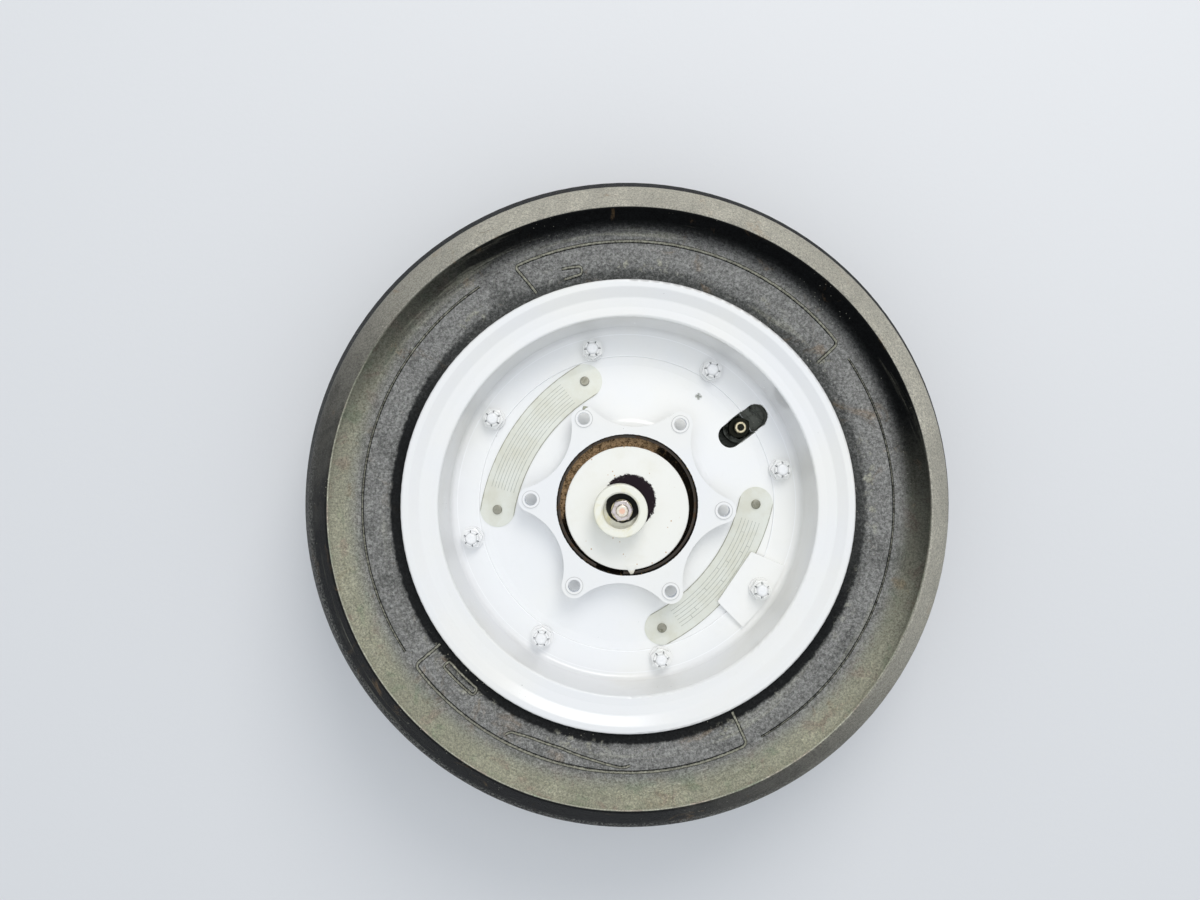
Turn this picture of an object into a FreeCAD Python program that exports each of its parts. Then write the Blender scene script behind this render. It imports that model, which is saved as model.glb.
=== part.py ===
import FreeCAD, Part
import math
import os
from FreeCAD import Vector

# A split aircraft nose wheel with a chined tyre, in millimetres. The wheel lies on its side:
# its axis is Z, the two halves meet at Z = 0 and the side with the tie nuts faces up.

# Rim, as a 10 inch standard: the tyre and both halves are built on these sizes
rim_width = 88.9                # between the two bead flanges
bead_seat_radius = 127.0
bead_seat_width = 14.5
bead_heel_rounding = 5.0
flange_height = 20.6            # above the bead seat
flange_upright = 9.0            # part of that height that stands square to the axis
flange_bend_rounding = 8.0
flange_lean = 5.8               # how far its edge leans out
flange_edge = 3.8               # thickness of that edge
lip_width = 4.8                 # flat front of the rim lip
lip_outer_rounding = 1.8
lip_inner_rounding = 2.2
rim_wall = 5.1                  # rim front to bead flange
rim_thickness = 3.2             # bead seat to the rim's bore at its front
rim_edge_rounding = 1.6
ledge_width = 6.2               # flat front of the rim around its bore
ledge_rise = 0.9
ledge_rounding = 3.0
rim_taper = 3.6                 # the bore is narrower by this at the web
rim_foot_rounding = 4.5
well_depth = 2.3
well_ramp = 4.0
well_rounding = 2.0
flange_radius = bead_seat_radius + flange_height
flange_bend_radius = bead_seat_radius + flange_upright
rim_bore_radius = bead_seat_radius - rim_thickness
rim_foot_radius = rim_bore_radius - rim_taper
well_radius = bead_seat_radius - well_depth

# Web between rim and hub: a bolt land, a flat and a cone that rises towards the hub
web_front = 16.0                # bolt land above the split
tie_circle_inset = 12.2         # from the rim's foot
land_inset = 6.6                # from the tie bolts' circle to the land's inner edge
land_step = 0.7
flat_width = 6.4
cone_slope = 0.13
web_thickness = 8.2
core_overlap = 1.5              # the hollow between the webs reaches under the flat by this
core_rounding = 4.0
tie_circle_radius = rim_foot_radius - tie_circle_inset
land_radius = tie_circle_radius - land_inset
cone_radius = land_radius - flat_width
web_core_outer = cone_radius + core_overlap

# Hub
hub_radius = 52.0
hub_blend = 10.0
hub_wall = 2.0                  # the hub's wall inside the hollow stands out by this
hub_front = 34.0
seal_bore_radius = 46.65
seal_chamfer = 0.6
seal_shelf_radius = 44.0
seal_shelf = 24.6
cup_shoulder = 5.8
cup_shoulder_radius = 32.0
spigot_radius = 39.5
spigot_height = 2.5
spigot_clearance = 0.05
web_core_inner = hub_radius + hub_wall

# Six-eared flange on the hub
ear_count = 6
ear_angle = -3.3
ear_circle_radius = 64.5
ear_tip_radius = 8.4
ear_floor_radius = 52.3         # lowest point between two ears
ear_thickness = 6.0
bushing_bore = 4.1
bushing_wall = 1.0
bushing_collar_width = 0.9
bushing_collar_height = 0.6

# Tie bolts, 5/16 inch
tie_count = 8
tie_angle = 12.5
bolt_radius = 3.97
bolt_clearance = 0.13
hex_across_flats = 12.7
hex_chamfer_share = 0.55        # of the corners' height over the flats
hex_top_share = 0.97            # of the flats' radius
head_height = 4.8
head_turn_angle = 11.0          # each head and nut stands turned by this against the one before
nut_turn_angle = 17.0
washer_radius = 7.9
washer_thickness = 1.6
nut_base_height = 5.0
nut_crown_height = 3.2
nut_crown_radius = 5.3
nut_crown_rounding = 0.8
nut_slot_count = 6
nut_slot_width = 1.5
nut_slot_depth = 2.6
bolt_end_height = 1.0           # rounded bolt end above the nut
bolt_end_rounding = 1.9

# Balance weight under one tie nut
weight_tie_index = 7
weight_angle = -34.1
weight_reach = 19.0             # inwards from the tie bolts' circle
weight_half_width = 20.6
weight_flare = 4.7
weight_rounding = 1.2
weight_rim_gap = 0.3
weight_thickness = 3.2
plate_relief = 0.3              # the weight clears the nameplate that it laps over by this

# Two riveted plates on the web
plate_angles = {"upper_nameplate": 145.8, "lower_nameplate": -37.2}
plate_bend_radius = 130.0
plate_width = 23.8
plate_thickness = 0.5
plate_edge_gap = 0.05
rivet_inset = 6.5               # from the cone's outer edge to the rivets' circle
rivet_half_angle = 36.9
rivet_radius = 1.6
rivet_head_radius = 3.2
rivet_head_height = 1.3
rivet_length = 6.0
rivet_circle_radius = cone_radius - rivet_inset

# Plug in the web, on the rivets' circle
plug_angle = 56.1
plug_radius = 3.2
plug_length = 5.0
plug_slot_length = 4.4
plug_slot_width = 0.9
plug_slot_depth = 0.9

# Inflation valve, on the lower half, reached through a slot in the upper web
slot_outset = 0.9               # from the cone's outer edge
slot_angle = 33.7
slot_direction = 37.7
slot_length = 38.4
slot_width = 16.4
valve_inset = 0.4               # from the cone's outer edge
valve_angle = 33.6
boss_radius = 10.5
boss_top = -1.0
valve_hole_radius = 4.75
valve_hole_depth = 9.0
valve_thread_length = 5.5
gasket_radius = 6.9
gasket_thickness = 1.0
valve_hex = 14.3
valve_hex_height = 5.0
stem_radius = 3.87
stem_length = 8.0
stem_rounding = 0.5
stem_bore = 2.45
core_length = 8.0
core_recess = 0.8
pin_radius = 0.6
pin_clearance = 0.15
pin_overhang = 2.0
air_passage_radius = 1.6
air_passage_depth = 8.2         # below the split
slot_circle_radius = cone_radius + slot_outset
valve_circle_radius = cone_radius - valve_inset

# Seal ring between the halves
rim_seal_inset = 1.3            # from the rim's foot
rim_seal_section = 1.3
rim_seal_groove_width = 3.2
rim_seal_radius = rim_foot_radius - rim_seal_inset

# Tapered roller bearings
bearing_width = 19.55
cup_outer_radius = 36.715
cup_width = 14.73
cup_race_radius = 34.0          # large end of the race in the cup
race_edge_rounding = 1.0
contact_angle = 15.75
roller_taper = 1.7              # half angle of a roller
roller_count = 18
roller_length = 11.4
roller_set_back = 1.7           # roller ends inside the cup's face, along the roller
roller_clearance = 0.3
cone_bore_radius = 20.6375
cone_rib_radius = 27.2
cone_small_rib = 1.2
cone_toe_width = 1.8
cage_thickness = 1.1
cage_ring = 1.7
cage_offset = 0.8               # cage outside the rollers' axes
pocket_clearance = 0.3

# Felt seals and the rings that hold them
felt_inner_radius = 28.2
felt_clearance = 0.3
felt_thickness = 3.3
ring_thickness = 1.2
ring_width = 3.0
ring_groove_depth = 1.5
ring_slack = 0.1
ring_gap_angle = 24.0
ring_gap_middle_angle = 255.0

# Discs, collar and bolt that close the hub and clamp the two bearing cones
disc_radius = 41.5
disc_thickness = 2.6
disc_face = 31.0
disc_rounding = 0.7
disc_boss_radius = 24.0
disc_hole_radius = 9.3
upper_disc_centre = (0.0, -2.4)
lower_disc_centre = (0.0, 0.0)
collar_centre = (-4.7, -3.2)
hub_bolt_centre = (-3.7, -3.2)
collar_radius = 17.7
collar_height = 19.0
collar_rounding = 1.2
collar_bore_radius = 11.7
collar_chamfer = 1.0
collar_floor = 5.5
collar_floor_rounding = 1.5
collar_hole_radius = 5.2
hub_washer_radius = 7.15
hub_washer_thickness = 1.6
hub_nut_height = 6.7
hub_nut_angle = 8.0
hub_bolt_end = 3.0
hub_bolt_rounding = 0.9
hub_bolt_head_angle = 20.0
plain_washer_radius = 16.0
plain_washer_thickness = 2.5

# Tyre. The drops are measured inwards from the crown's radius.
crown_radius = 220.0
crown_half_width = 21.0
crown_rounding = 70.0
shoulder_drop = 11.0
shoulder_height = 46.0
shoulder_rounding = 9.0
bulge_drop = 14.5               # outside of the chine
bulge_height = 60.0
bulge_rounding = 30.0
chine_drop = 32.6               # inner edge of the chine's lip
chine_height = 76.0
chine_lip_width = 2.6
chine_lip_rounding = 0.9
chine_root_drop = 24.5          # hollow under the lip
chine_root_height = 64.0
chine_root_rounding = 8.0
channel_drop = 28.0             # channel between the chine and the wall
channel_height = 53.8
channel_rounding = 6.0
wall_lap = 5.0                  # the wall lies on the rim lip and this far past it
wall_lap_rounding = 3.0
wall_low_share = 0.24           # places on the way from the lap to the chine's lip
wall_low_height = 56.2
wall_low_rounding = 15.0
wall_mid_share = 0.56
wall_mid_height = 57.8
wall_mid_rounding = 25.0
wall_top_share = 0.83
wall_top_height = 56.0
wall_top_rounding = 6.0
bead_toe_gap = 1.0
bead_toe_height = 3.0
bead_toe_drop = 0.5
bead_toe_rounding = 1.0
bead_core_width = 14.4
bead_core_depth = 13.5
carcass = 9.0
carcass_rounding = 25.0
tread_depth = 13.5
tread_inner_rounding = 40.0
groove_pitch = 22.0
groove_width = 5.0
groove_depth = 4.5
groove_fall_share = 0.1         # the outer grooves lie deeper by this share of their height

overcut = 1.0                   # a cutting shape reaches past the metal by this

axis = Vector(0, 0, 1)
origin = Vector(0, 0, 0)


def on_circle(radius, degrees, height=0.0):
    return Vector(
        radius * math.cos(math.radians(degrees)), radius * math.sin(math.radians(degrees)), height
    )


def steps_around(count, start=0.0):
    return [start + 360.0 * k / count for k in range(count)]


# A closed wire through corners (x, y) or (x, y, rounding). A rounding is limited by its two sides.
def rounded_wire(corners, place):
    spots = [Vector(c[0], c[1], 0) for c in corners]
    edges = []
    ends = []
    for k, corner in enumerate(corners):
        here = spots[k]
        back = spots[k - 1] - here
        onward = spots[(k + 1) % len(spots)] - here
        half_turn = back.getAngle(onward) / 2
        if len(corner) < 3 or math.pi / 2 - half_turn < 1e-4:
            ends.append((here, here, here))
            continue
        reach = min(corner[2] / math.tan(half_turn), 0.49 * back.Length, 0.49 * onward.Length)
        rounding = reach * math.tan(half_turn)
        start = here + back * (reach / back.Length)
        finish = here + onward * (reach / onward.Length)
        middle = (start + finish) * 0.5 - here
        sag = rounding / math.sin(half_turn) - rounding
        ends.append((start, here + middle * (sag / middle.Length), finish))
    for k, (start, via, finish) in enumerate(ends):
        if (finish - start).Length > 1e-6:
            edges.append(Part.Arc(place(start), place(via), place(finish)).toShape())
        onward = ends[(k + 1) % len(ends)][0]
        if (onward - finish).Length > 1e-6:
            edges.append(Part.LineSegment(place(finish), place(onward)).toShape())
    return Part.Wire(edges)


# A full turn about Z of an outline given as (radius, height) corners
def turned(corners):
    face = Part.Face(rounded_wire(corners, lambda p: Vector(p.x, 0, p.y)))
    return face.revolve(origin, axis, 360)


def prism(corners, low, high):
    face = Part.Face(rounded_wire(corners, lambda p: Vector(p.x, p.y, low)))
    return face.extrude(Vector(0, 0, high - low))


def cylinder(radius, low, high, spot=origin):
    return Part.makeCylinder(radius, high - low, Vector(spot.x, spot.y, low), axis)


def washer(outer, inner, low, high, spot=origin):
    ring = cylinder(outer, low, high, spot)
    return ring.cut(cylinder(inner, low, high, spot))


# A hexagon with its corners turned off at the top
def hexagon(across_flats, low, high, degrees=0.0):
    corner = across_flats / 2 / math.cos(math.radians(30))
    block = prism([(on_circle(corner, a).x, on_circle(corner, a).y) for a in steps_around(6, degrees)],
                  low, high)
    slope = (corner - across_flats / 2) * hex_chamfer_share
    return block.common(turned([(0, low), (corner, low), (corner, high - slope),
                                (across_flats / 2 * hex_top_share, high), (0, high)]))


def flipped(corners):
    return [(c[0], -c[1]) + tuple(c[2:]) for c in corners]


def lower(shape):
    return shape.mirror(origin, axis)


def turn(shape, degrees):
    shape = shape.copy()
    shape.rotate(origin, axis, degrees)
    return shape


def moved(shape, spot):
    shape = shape.copy()
    shape.translate(Vector(spot[0], spot[1], 0))
    return shape


def cone_height(radius):
    return web_front - land_step + (cone_radius - radius) * cone_slope


# ---------------------------------------------------------------- wheel halves
flange_face = rim_width / 2
rim_front = flange_face + rim_wall
lip_front = flange_face + flange_lean + flange_edge
bead_seat_start = flange_face - bead_seat_width
tie_hole_radius = bolt_radius + bolt_clearance
cup_face = cup_shoulder + cup_width
ring_seat = seal_shelf + felt_thickness
ring_top = ring_seat + ring_thickness
ledge_radius = rim_bore_radius + ledge_width


# Outline of a half from its tyre side over the rim, down the web and into the hub's bores
def half_outline():
    lip_inner = flange_radius - lip_width
    return [
        (well_radius, 0),
        (well_radius, bead_seat_start - well_ramp, well_rounding),
        (bead_seat_radius, bead_seat_start, well_rounding),
        (bead_seat_radius, flange_face, bead_heel_rounding),
        (flange_bend_radius, flange_face, flange_bend_rounding),
        (flange_radius, flange_face + flange_lean),
        (flange_radius, lip_front, lip_outer_rounding),
        (lip_inner, lip_front, lip_inner_rounding),
        (flange_bend_radius, rim_front + ledge_rise, ledge_rounding),
        (ledge_radius, rim_front, ledge_rounding),
        (rim_bore_radius, rim_front, rim_edge_rounding),
        (rim_foot_radius, web_front, rim_foot_rounding),
        (land_radius, web_front),
        (land_radius - land_step, web_front - land_step),
        (cone_radius, web_front - land_step),
        (hub_radius, cone_height(hub_radius), hub_blend),
        (hub_radius, hub_front),
        (seal_bore_radius + seal_chamfer, hub_front),
        (seal_bore_radius, hub_front - seal_chamfer),
        (seal_bore_radius, ring_top + ring_slack),
        (seal_bore_radius + ring_groove_depth, ring_top + ring_slack),
        (seal_bore_radius + ring_groove_depth, ring_seat),
        (seal_bore_radius, ring_seat),
        (seal_bore_radius, seal_shelf),
        (seal_shelf_radius, seal_shelf),
        (seal_shelf_radius, cup_face),
        (cup_outer_radius, cup_face),
        (cup_outer_radius, cup_shoulder),
        (cup_shoulder_radius, cup_shoulder),
    ]


# Hollow between the webs, from the hub's joint face to the bolt land's
def web_core():
    return [
        (web_core_inner, 0),
        (web_core_inner, cone_height(web_core_inner) - web_thickness, core_rounding),
        (web_core_outer, web_front - land_step - web_thickness, core_rounding),
        (web_core_outer, 0),
    ]


# Six round ears joined by hollows that run tangent to them
def eared_flange():
    step = math.pi / ear_count
    ear = Vector(ear_circle_radius * math.cos(step), ear_circle_radius * math.sin(step), 0)
    gap = ear_floor_radius - ear_tip_radius
    hollow_centre = (ear_circle_radius ** 2 - gap ** 2) / (2 * (ear.x - gap))
    hollow_radius = hollow_centre - ear_floor_radius
    share = ear_tip_radius / (ear_tip_radius + hollow_radius)
    meet = ear + (Vector(hollow_centre, 0, 0) - ear) * share
    meet_angle = math.degrees(math.atan2(meet.y, meet.x))
    edges = []
    for middle in steps_around(ear_count, ear_angle + math.degrees(step)):
        first = on_circle(meet.Length, middle - meet_angle)
        last = on_circle(meet.Length, middle + meet_angle)
        next_first = on_circle(meet.Length, middle + 2 * math.degrees(step) - meet_angle)
        tip = on_circle(ear_circle_radius + ear_tip_radius, middle + math.degrees(step))
        edges.append(Part.Arc(first, on_circle(ear_floor_radius, middle), last).toShape())
        edges.append(Part.Arc(last, tip, next_first).toShape())
    flange = Part.Face(Part.Wire(edges)).extrude(Vector(0, 0, ear_thickness))
    flange.translate(Vector(0, 0, hub_front - ear_thickness))
    flange = flange.cut(cylinder((seal_bore_radius + ring_groove_depth + hub_radius) / 2, 0, hub_front))
    for degrees in steps_around(ear_count, ear_angle):
        hole = cylinder(bushing_bore + bushing_wall, 0, hub_front, on_circle(ear_circle_radius, degrees))
        flange = flange.cut(hole)
    return flange


def tie_spots():
    return [on_circle(tie_circle_radius, a) for a in steps_around(tie_count, tie_angle)]


# Stands a shape that was made on Z at the origin upright on the web's cone
def on_cone(shape, radius, degrees, lift=0.0):
    shape = shape.copy()
    shape.rotate(origin, Vector(0, 1, 0), math.degrees(math.atan(cone_slope)))
    shape.translate(Vector(radius, 0, cone_height(radius) + lift))
    shape.rotate(origin, axis, degrees)
    return shape


def rivet_angles():
    return [middle + side * rivet_half_angle for middle in plate_angles.values() for side in (-1, 1)]


def slot_prism():
    run = (slot_length - slot_width) / 2
    block = prism([(-run - slot_width / 2, -slot_width / 2, slot_width / 2),
                   (run + slot_width / 2, -slot_width / 2, slot_width / 2),
                   (run + slot_width / 2, slot_width / 2, slot_width / 2),
                   (-run - slot_width / 2, slot_width / 2, slot_width / 2)], -overcut, hub_front)
    block.rotate(origin, axis, slot_direction)
    block.translate(on_circle(slot_circle_radius, slot_angle))
    return block


def make_outer_wheel_half():
    spigot = [
        (cup_shoulder_radius, -spigot_height),
        (spigot_radius, -spigot_height),
        (spigot_radius, 0),
    ]
    half = turned(half_outline() + spigot + web_core())
    half = half.fuse(eared_flange())
    half = half.cut(slot_prism())
    for spot in tie_spots():
        half = half.cut(cylinder(tie_hole_radius, -overcut, hub_front, spot))
    for degrees in rivet_angles():
        hole = cylinder(rivet_radius, -rivet_length, overcut)
        half = half.cut(on_cone(hole, rivet_circle_radius, degrees))
    half = half.cut(on_cone(cylinder(plug_radius, -plug_length, overcut), rivet_circle_radius, plug_angle))
    return half.removeSplitter()


def make_inner_wheel_half():
    depth = spigot_height + spigot_clearance
    recess = [
        (cup_shoulder_radius, depth),
        (spigot_radius + spigot_clearance, depth),
        (spigot_radius + spigot_clearance, 0),
    ]
    groove_inner = rim_seal_radius - rim_seal_groove_width / 2
    groove_outer = rim_seal_radius + rim_seal_groove_width / 2
    groove = [
        (groove_inner, 0),
        (groove_inner, 2 * rim_seal_section),
        (groove_outer, 2 * rim_seal_section),
        (groove_outer, 0),
    ]
    half = turned(flipped(half_outline() + recess + web_core() + groove))
    spot = on_circle(valve_circle_radius, valve_angle)
    boss_foot = -(cone_height(valve_circle_radius) - web_thickness / 2)
    half = half.fuse(cylinder(boss_radius, boss_foot, boss_top, spot))
    half = half.cut(cylinder(boss_radius, boss_top, overcut, spot))
    half = half.cut(cylinder(valve_hole_radius, boss_top - valve_hole_depth, overcut, spot))
    passage = Part.makeCylinder(air_passage_radius, well_radius - valve_circle_radius + overcut,
                                Vector(spot.x, spot.y, -air_passage_depth),
                                on_circle(1, valve_angle))
    half = half.cut(passage)
    for tie in tie_spots():
        half = half.cut(cylinder(tie_hole_radius, -hub_front, overcut, tie))
    return half.removeSplitter()


def make_rim_seal_ring():
    ring = Part.makeTorus(rim_seal_radius, rim_seal_section)
    ring.translate(Vector(0, 0, -rim_seal_section))
    return ring


# ---------------------------------------------------------------- tie bolts and what they hold
def stack_height(k):
    return web_front + (weight_thickness if k == weight_tie_index else 0)


def slotted_nut(degrees):
    top = nut_base_height + nut_crown_height
    nut = hexagon(hex_across_flats, 0, nut_base_height, degrees)
    nut = nut.fuse(turned([(0, 0), (nut_crown_radius, 0), (nut_crown_radius, top, nut_crown_rounding),
                           (0, top)]))
    for side in steps_around(nut_slot_count // 2, degrees + 30):
        slot = Part.makeBox(2 * hex_across_flats, nut_slot_width, nut_slot_depth + overcut,
                            Vector(-hex_across_flats, -nut_slot_width / 2, top - nut_slot_depth))
        nut = nut.cut(turn(slot, side))
    return nut.cut(cylinder(bolt_radius, -overcut, top + overcut)).removeSplitter()


def make_tie_nuts():
    nuts = []
    for k, spot in enumerate(tie_spots()):
        nut = moved(slotted_nut(nut_turn_angle * k), spot)
        nut.translate(Vector(0, 0, stack_height(k) + washer_thickness))
        nuts.append(nut)
    return Part.makeCompound(nuts)


def make_tie_nut_washers():
    return Part.makeCompound([
        washer(washer_radius, bolt_radius, stack_height(k), stack_height(k) + washer_thickness, spot)
        for k, spot in enumerate(tie_spots())
    ])


def make_tie_bolt_washers():
    return Part.makeCompound([
        washer(washer_radius, bolt_radius, -web_front - washer_thickness, -web_front, spot)
        for spot in tie_spots()
    ])


def make_tie_bolts():
    bolts = []
    seat = -web_front - washer_thickness
    for k, spot in enumerate(tie_spots()):
        top = stack_height(k) + washer_thickness + nut_base_height + nut_crown_height + bolt_end_height
        shank = turned([(0, seat), (bolt_radius, seat), (bolt_radius, top, bolt_end_rounding), (0, top)])
        head = lower(hexagon(hex_across_flats, -seat, -seat + head_height, head_turn_angle * k))
        bolts.append(moved(shank.fuse(head).removeSplitter(), spot))
    return Part.makeCompound(bolts)


def make_balance_weight():
    edge = rim_foot_radius - rim_foot_rounding - weight_rim_gap
    inner = tie_circle_radius - weight_reach
    half_edge = weight_half_width + weight_flare
    reach = math.sqrt(edge ** 2 - half_edge ** 2)
    low = web_front
    high = web_front + weight_thickness
    blank = prism([(inner, -weight_half_width, weight_rounding), (reach, -half_edge), (edge, -half_edge),
                   (edge, half_edge), (reach, half_edge), (inner, weight_half_width, weight_rounding)],
                  low, high)
    plate = turn(blank, weight_angle).common(cylinder(edge, low, high))
    plate = plate.cut(plate_shell(plate_thickness + plate_relief, web_thickness))
    hole = cylinder(tie_hole_radius, low - overcut, high + overcut, tie_spots()[weight_tie_index])
    return plate.cut(hole)


# ---------------------------------------------------------------- nameplates, rivets and plug
# A skin of the given thickness lying on the web, from near the hub to the bolt land. It can also
# reach below the web's surface.
def plate_shell(thickness, depth=0.0):
    inner = hub_radius + hub_blend
    outer = land_radius - land_step - plate_edge_gap
    face = web_front - land_step
    return turned([(inner, cone_height(inner) - depth), (cone_radius, face - depth), (outer, face - depth),
                   (outer, face + thickness), (cone_radius, face + thickness),
                   (inner, cone_height(inner) + thickness)])


# A strip bent to its own radius with round ends, each end centred on its rivet
def make_nameplate(degrees):
    rivet = on_circle(rivet_circle_radius, rivet_half_angle)
    bend_centre = rivet.x - math.sqrt(plate_bend_radius ** 2 - rivet.y ** 2)
    swing = math.degrees(math.asin(rivet.y / plate_bend_radius))
    half = plate_width / 2
    centre = Vector(bend_centre, 0, 0)
    outer = [centre + on_circle(plate_bend_radius + half, a) for a in (-swing, 0, swing)]
    inner = [centre + on_circle(plate_bend_radius - half, a) for a in (swing, 0, -swing)]
    end = centre + on_circle(plate_bend_radius, swing) + on_circle(half, swing + 90)
    start = centre + on_circle(plate_bend_radius, -swing) + on_circle(half, -swing - 90)
    outline = Part.Wire([
        Part.Arc(outer[0], outer[1], outer[2]).toShape(),
        Part.Arc(outer[2], end, inner[0]).toShape(),
        Part.Arc(inner[0], inner[1], inner[2]).toShape(),
        Part.Arc(inner[2], start, outer[0]).toShape(),
    ])
    blank = turn(Part.Face(outline).extrude(Vector(0, 0, hub_front)), degrees)
    plate = blank.common(plate_shell(plate_thickness))
    for side in (-1, 1):
        hole = cylinder(rivet_radius, -overcut, plate_thickness + overcut)
        plate = plate.cut(on_cone(hole, rivet_circle_radius, degrees + side * rivet_half_angle))
    return plate


def make_nameplate_rivets():
    rivet = turned([(0, -rivet_length), (rivet_radius, -rivet_length), (rivet_radius, plate_thickness),
                    (rivet_head_radius, plate_thickness),
                    (rivet_head_radius, plate_thickness + rivet_head_height, rivet_head_height),
                    (0, plate_thickness + rivet_head_height)])
    return Part.makeCompound([on_cone(rivet, rivet_circle_radius, a) for a in rivet_angles()])


def make_web_plug():
    plug = cylinder(plug_radius, -plug_length, 0)
    for degrees in (0, 90):
        slot = Part.makeBox(plug_slot_length, plug_slot_width, plug_slot_depth + overcut,
                            Vector(-plug_slot_length / 2, -plug_slot_width / 2, -plug_slot_depth))
        plug = plug.cut(turn(slot, degrees))
    return on_cone(plug, rivet_circle_radius, plug_angle)


def make_flange_bushings():
    outer = bushing_bore + bushing_wall
    collar = outer + bushing_collar_width
    top = hub_front + bushing_collar_height
    bushing = turned([(bushing_bore, hub_front - ear_thickness), (outer, hub_front - ear_thickness),
                      (outer, hub_front), (collar, hub_front), (collar, top), (bushing_bore, top)])
    return Part.makeCompound([
        moved(bushing, on_circle(ear_circle_radius, a)) for a in steps_around(ear_count, ear_angle)
    ])


# ---------------------------------------------------------------- valve
valve_spot = on_circle(valve_circle_radius, valve_angle)
gasket_top = boss_top + gasket_thickness
stem_foot = gasket_top + valve_hex_height
stem_top = stem_foot + stem_length
core_top = stem_top - core_recess
core_foot = core_top - core_length


def make_valve_gasket():
    return washer(gasket_radius, valve_hole_radius, boss_top, gasket_top, valve_spot)


def make_valve_stem():
    foot = boss_top - valve_thread_length
    body = turned([(0, foot), (valve_hole_radius, foot), (valve_hole_radius, gasket_top),
                   (stem_radius, gasket_top), (stem_radius, stem_top, stem_rounding), (0, stem_top)])
    body = body.fuse(hexagon(valve_hex, gasket_top, stem_foot, valve_angle))
    body = body.cut(cylinder(stem_bore, core_foot, stem_top + overcut))
    body = body.cut(cylinder(pin_radius + 2 * pin_clearance, foot - overcut, core_foot + overcut))
    return moved(body.removeSplitter(), valve_spot)


def make_valve_core():
    return washer(stem_bore, pin_radius + pin_clearance, core_foot, core_top, valve_spot)


def make_valve_pin():
    return cylinder(pin_radius, core_foot - pin_overhang, stem_top, valve_spot)


# ---------------------------------------------------------------- bearings
# Both races and the rollers' axes meet in one point on the wheel's axis
cup_slope = math.radians(contact_angle)
axis_slope = math.radians(contact_angle - roller_taper)
cone_slope_angle = math.radians(contact_angle - 2 * roller_taper)
race_apex = cup_face - cup_race_radius / math.tan(cup_slope)
cone_back = cup_shoulder + bearing_width
roller_far = (cup_race_radius / math.sin(cup_slope)) * math.cos(math.radians(roller_taper)) - roller_set_back
roller_near = roller_far - roller_length


def race_radius(height, slope):
    return (height - race_apex) * math.tan(slope)


# Height and radius of a point on a roller's axis
def along_roller(distance):
    return race_apex + distance * math.cos(axis_slope), distance * math.sin(axis_slope)


# Height at which the plane across a roller's axis meets the given radius
def across_roller(distance, radius):
    height, reach = along_roller(distance)
    return height + (reach - radius) * math.tan(axis_slope)


def lay_on_roller_axis(shape):
    shape.rotate(origin, Vector(0, 1, 0), math.degrees(axis_slope))
    shape.translate(Vector(0, 0, race_apex))
    return shape


def make_bearing_cup():
    return turned([
        (race_radius(cup_shoulder, cup_slope), cup_shoulder),
        (cup_outer_radius, cup_shoulder),
        (cup_outer_radius, cup_face, race_edge_rounding),
        (cup_race_radius, cup_face),
    ])


def make_bearing_cone():
    gap = roller_clearance / math.cos(cone_slope_angle)
    far = roller_far + roller_clearance
    near = roller_near - roller_clearance
    rib_foot = race_radius(along_roller(far)[0], cone_slope_angle) - gap
    toe_foot = race_radius(along_roller(near)[0], cone_slope_angle) - gap
    toe_rib = toe_foot + cone_small_rib
    front = across_roller(near, toe_rib) - cone_toe_width
    return turned([
        (cone_bore_radius, front),
        (toe_rib, front),
        (toe_rib, across_roller(near, toe_rib)),
        (toe_foot, across_roller(near, toe_foot)),
        (rib_foot, across_roller(far, rib_foot)),
        (cone_rib_radius, across_roller(far, cone_rib_radius)),
        (cone_rib_radius, cone_back, race_edge_rounding),
        (cone_bore_radius, cone_back, race_edge_rounding),
    ])


def make_bearing_rollers():
    near = roller_near * math.tan(math.radians(roller_taper)) - roller_clearance
    far = roller_far * math.tan(math.radians(roller_taper)) - roller_clearance
    roller = Part.makeCone(near, far, roller_length, Vector(0, 0, roller_near), axis)
    roller = lay_on_roller_axis(roller)
    return Part.makeCompound([turn(roller, a) for a in steps_around(roller_count)])


def make_bearing_cage():
    low = roller_near - pocket_clearance - cage_ring
    high = roller_far + pocket_clearance + cage_ring
    corners = []
    for distance, side in ((low, 0), (high, 0), (high, 1), (low, 1)):
        height, reach = along_roller(distance)
        offset = cage_offset + side * cage_thickness
        corners.append((reach + offset * math.cos(axis_slope), height - offset * math.sin(axis_slope)))
    cage = turned(corners)
    pocket_length = roller_length + 2 * pocket_clearance
    for degrees in steps_around(roller_count):
        width = 2 * (roller_far * math.tan(math.radians(roller_taper)) - roller_clearance + pocket_clearance)
        pocket = Part.makeBox(2 * (cage_offset + cage_thickness), width, pocket_length,
                              Vector(0, -width / 2, roller_near - pocket_clearance))
        cage = cage.cut(turn(lay_on_roller_axis(pocket), degrees))
    return cage


# ---------------------------------------------------------------- seals, discs, collar and hub bolt
def make_felt_seal():
    return washer(seal_bore_radius - felt_clearance, felt_inner_radius, seal_shelf, ring_seat)


def make_retaining_ring():
    outer = seal_bore_radius + ring_groove_depth - ring_slack
    ring = washer(outer, outer - ring_width, ring_seat, ring_top)
    reach = outer * 2
    half_gap = math.radians(ring_gap_angle / 2)
    gap = prism([(0, 0), (reach, -reach * math.tan(half_gap)), (reach, reach * math.tan(half_gap))],
                ring_seat - overcut, ring_top + overcut)
    return ring.cut(turn(gap, ring_gap_middle_angle))


def make_hub_disc(centre):
    back = disc_face - disc_thickness
    disc = turned([(disc_hole_radius, cone_back), (disc_boss_radius, cone_back), (disc_boss_radius, back),
                   (disc_radius, back), (disc_radius, disc_face, disc_rounding),
                   (disc_hole_radius, disc_face)])
    return moved(disc, centre)


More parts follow.
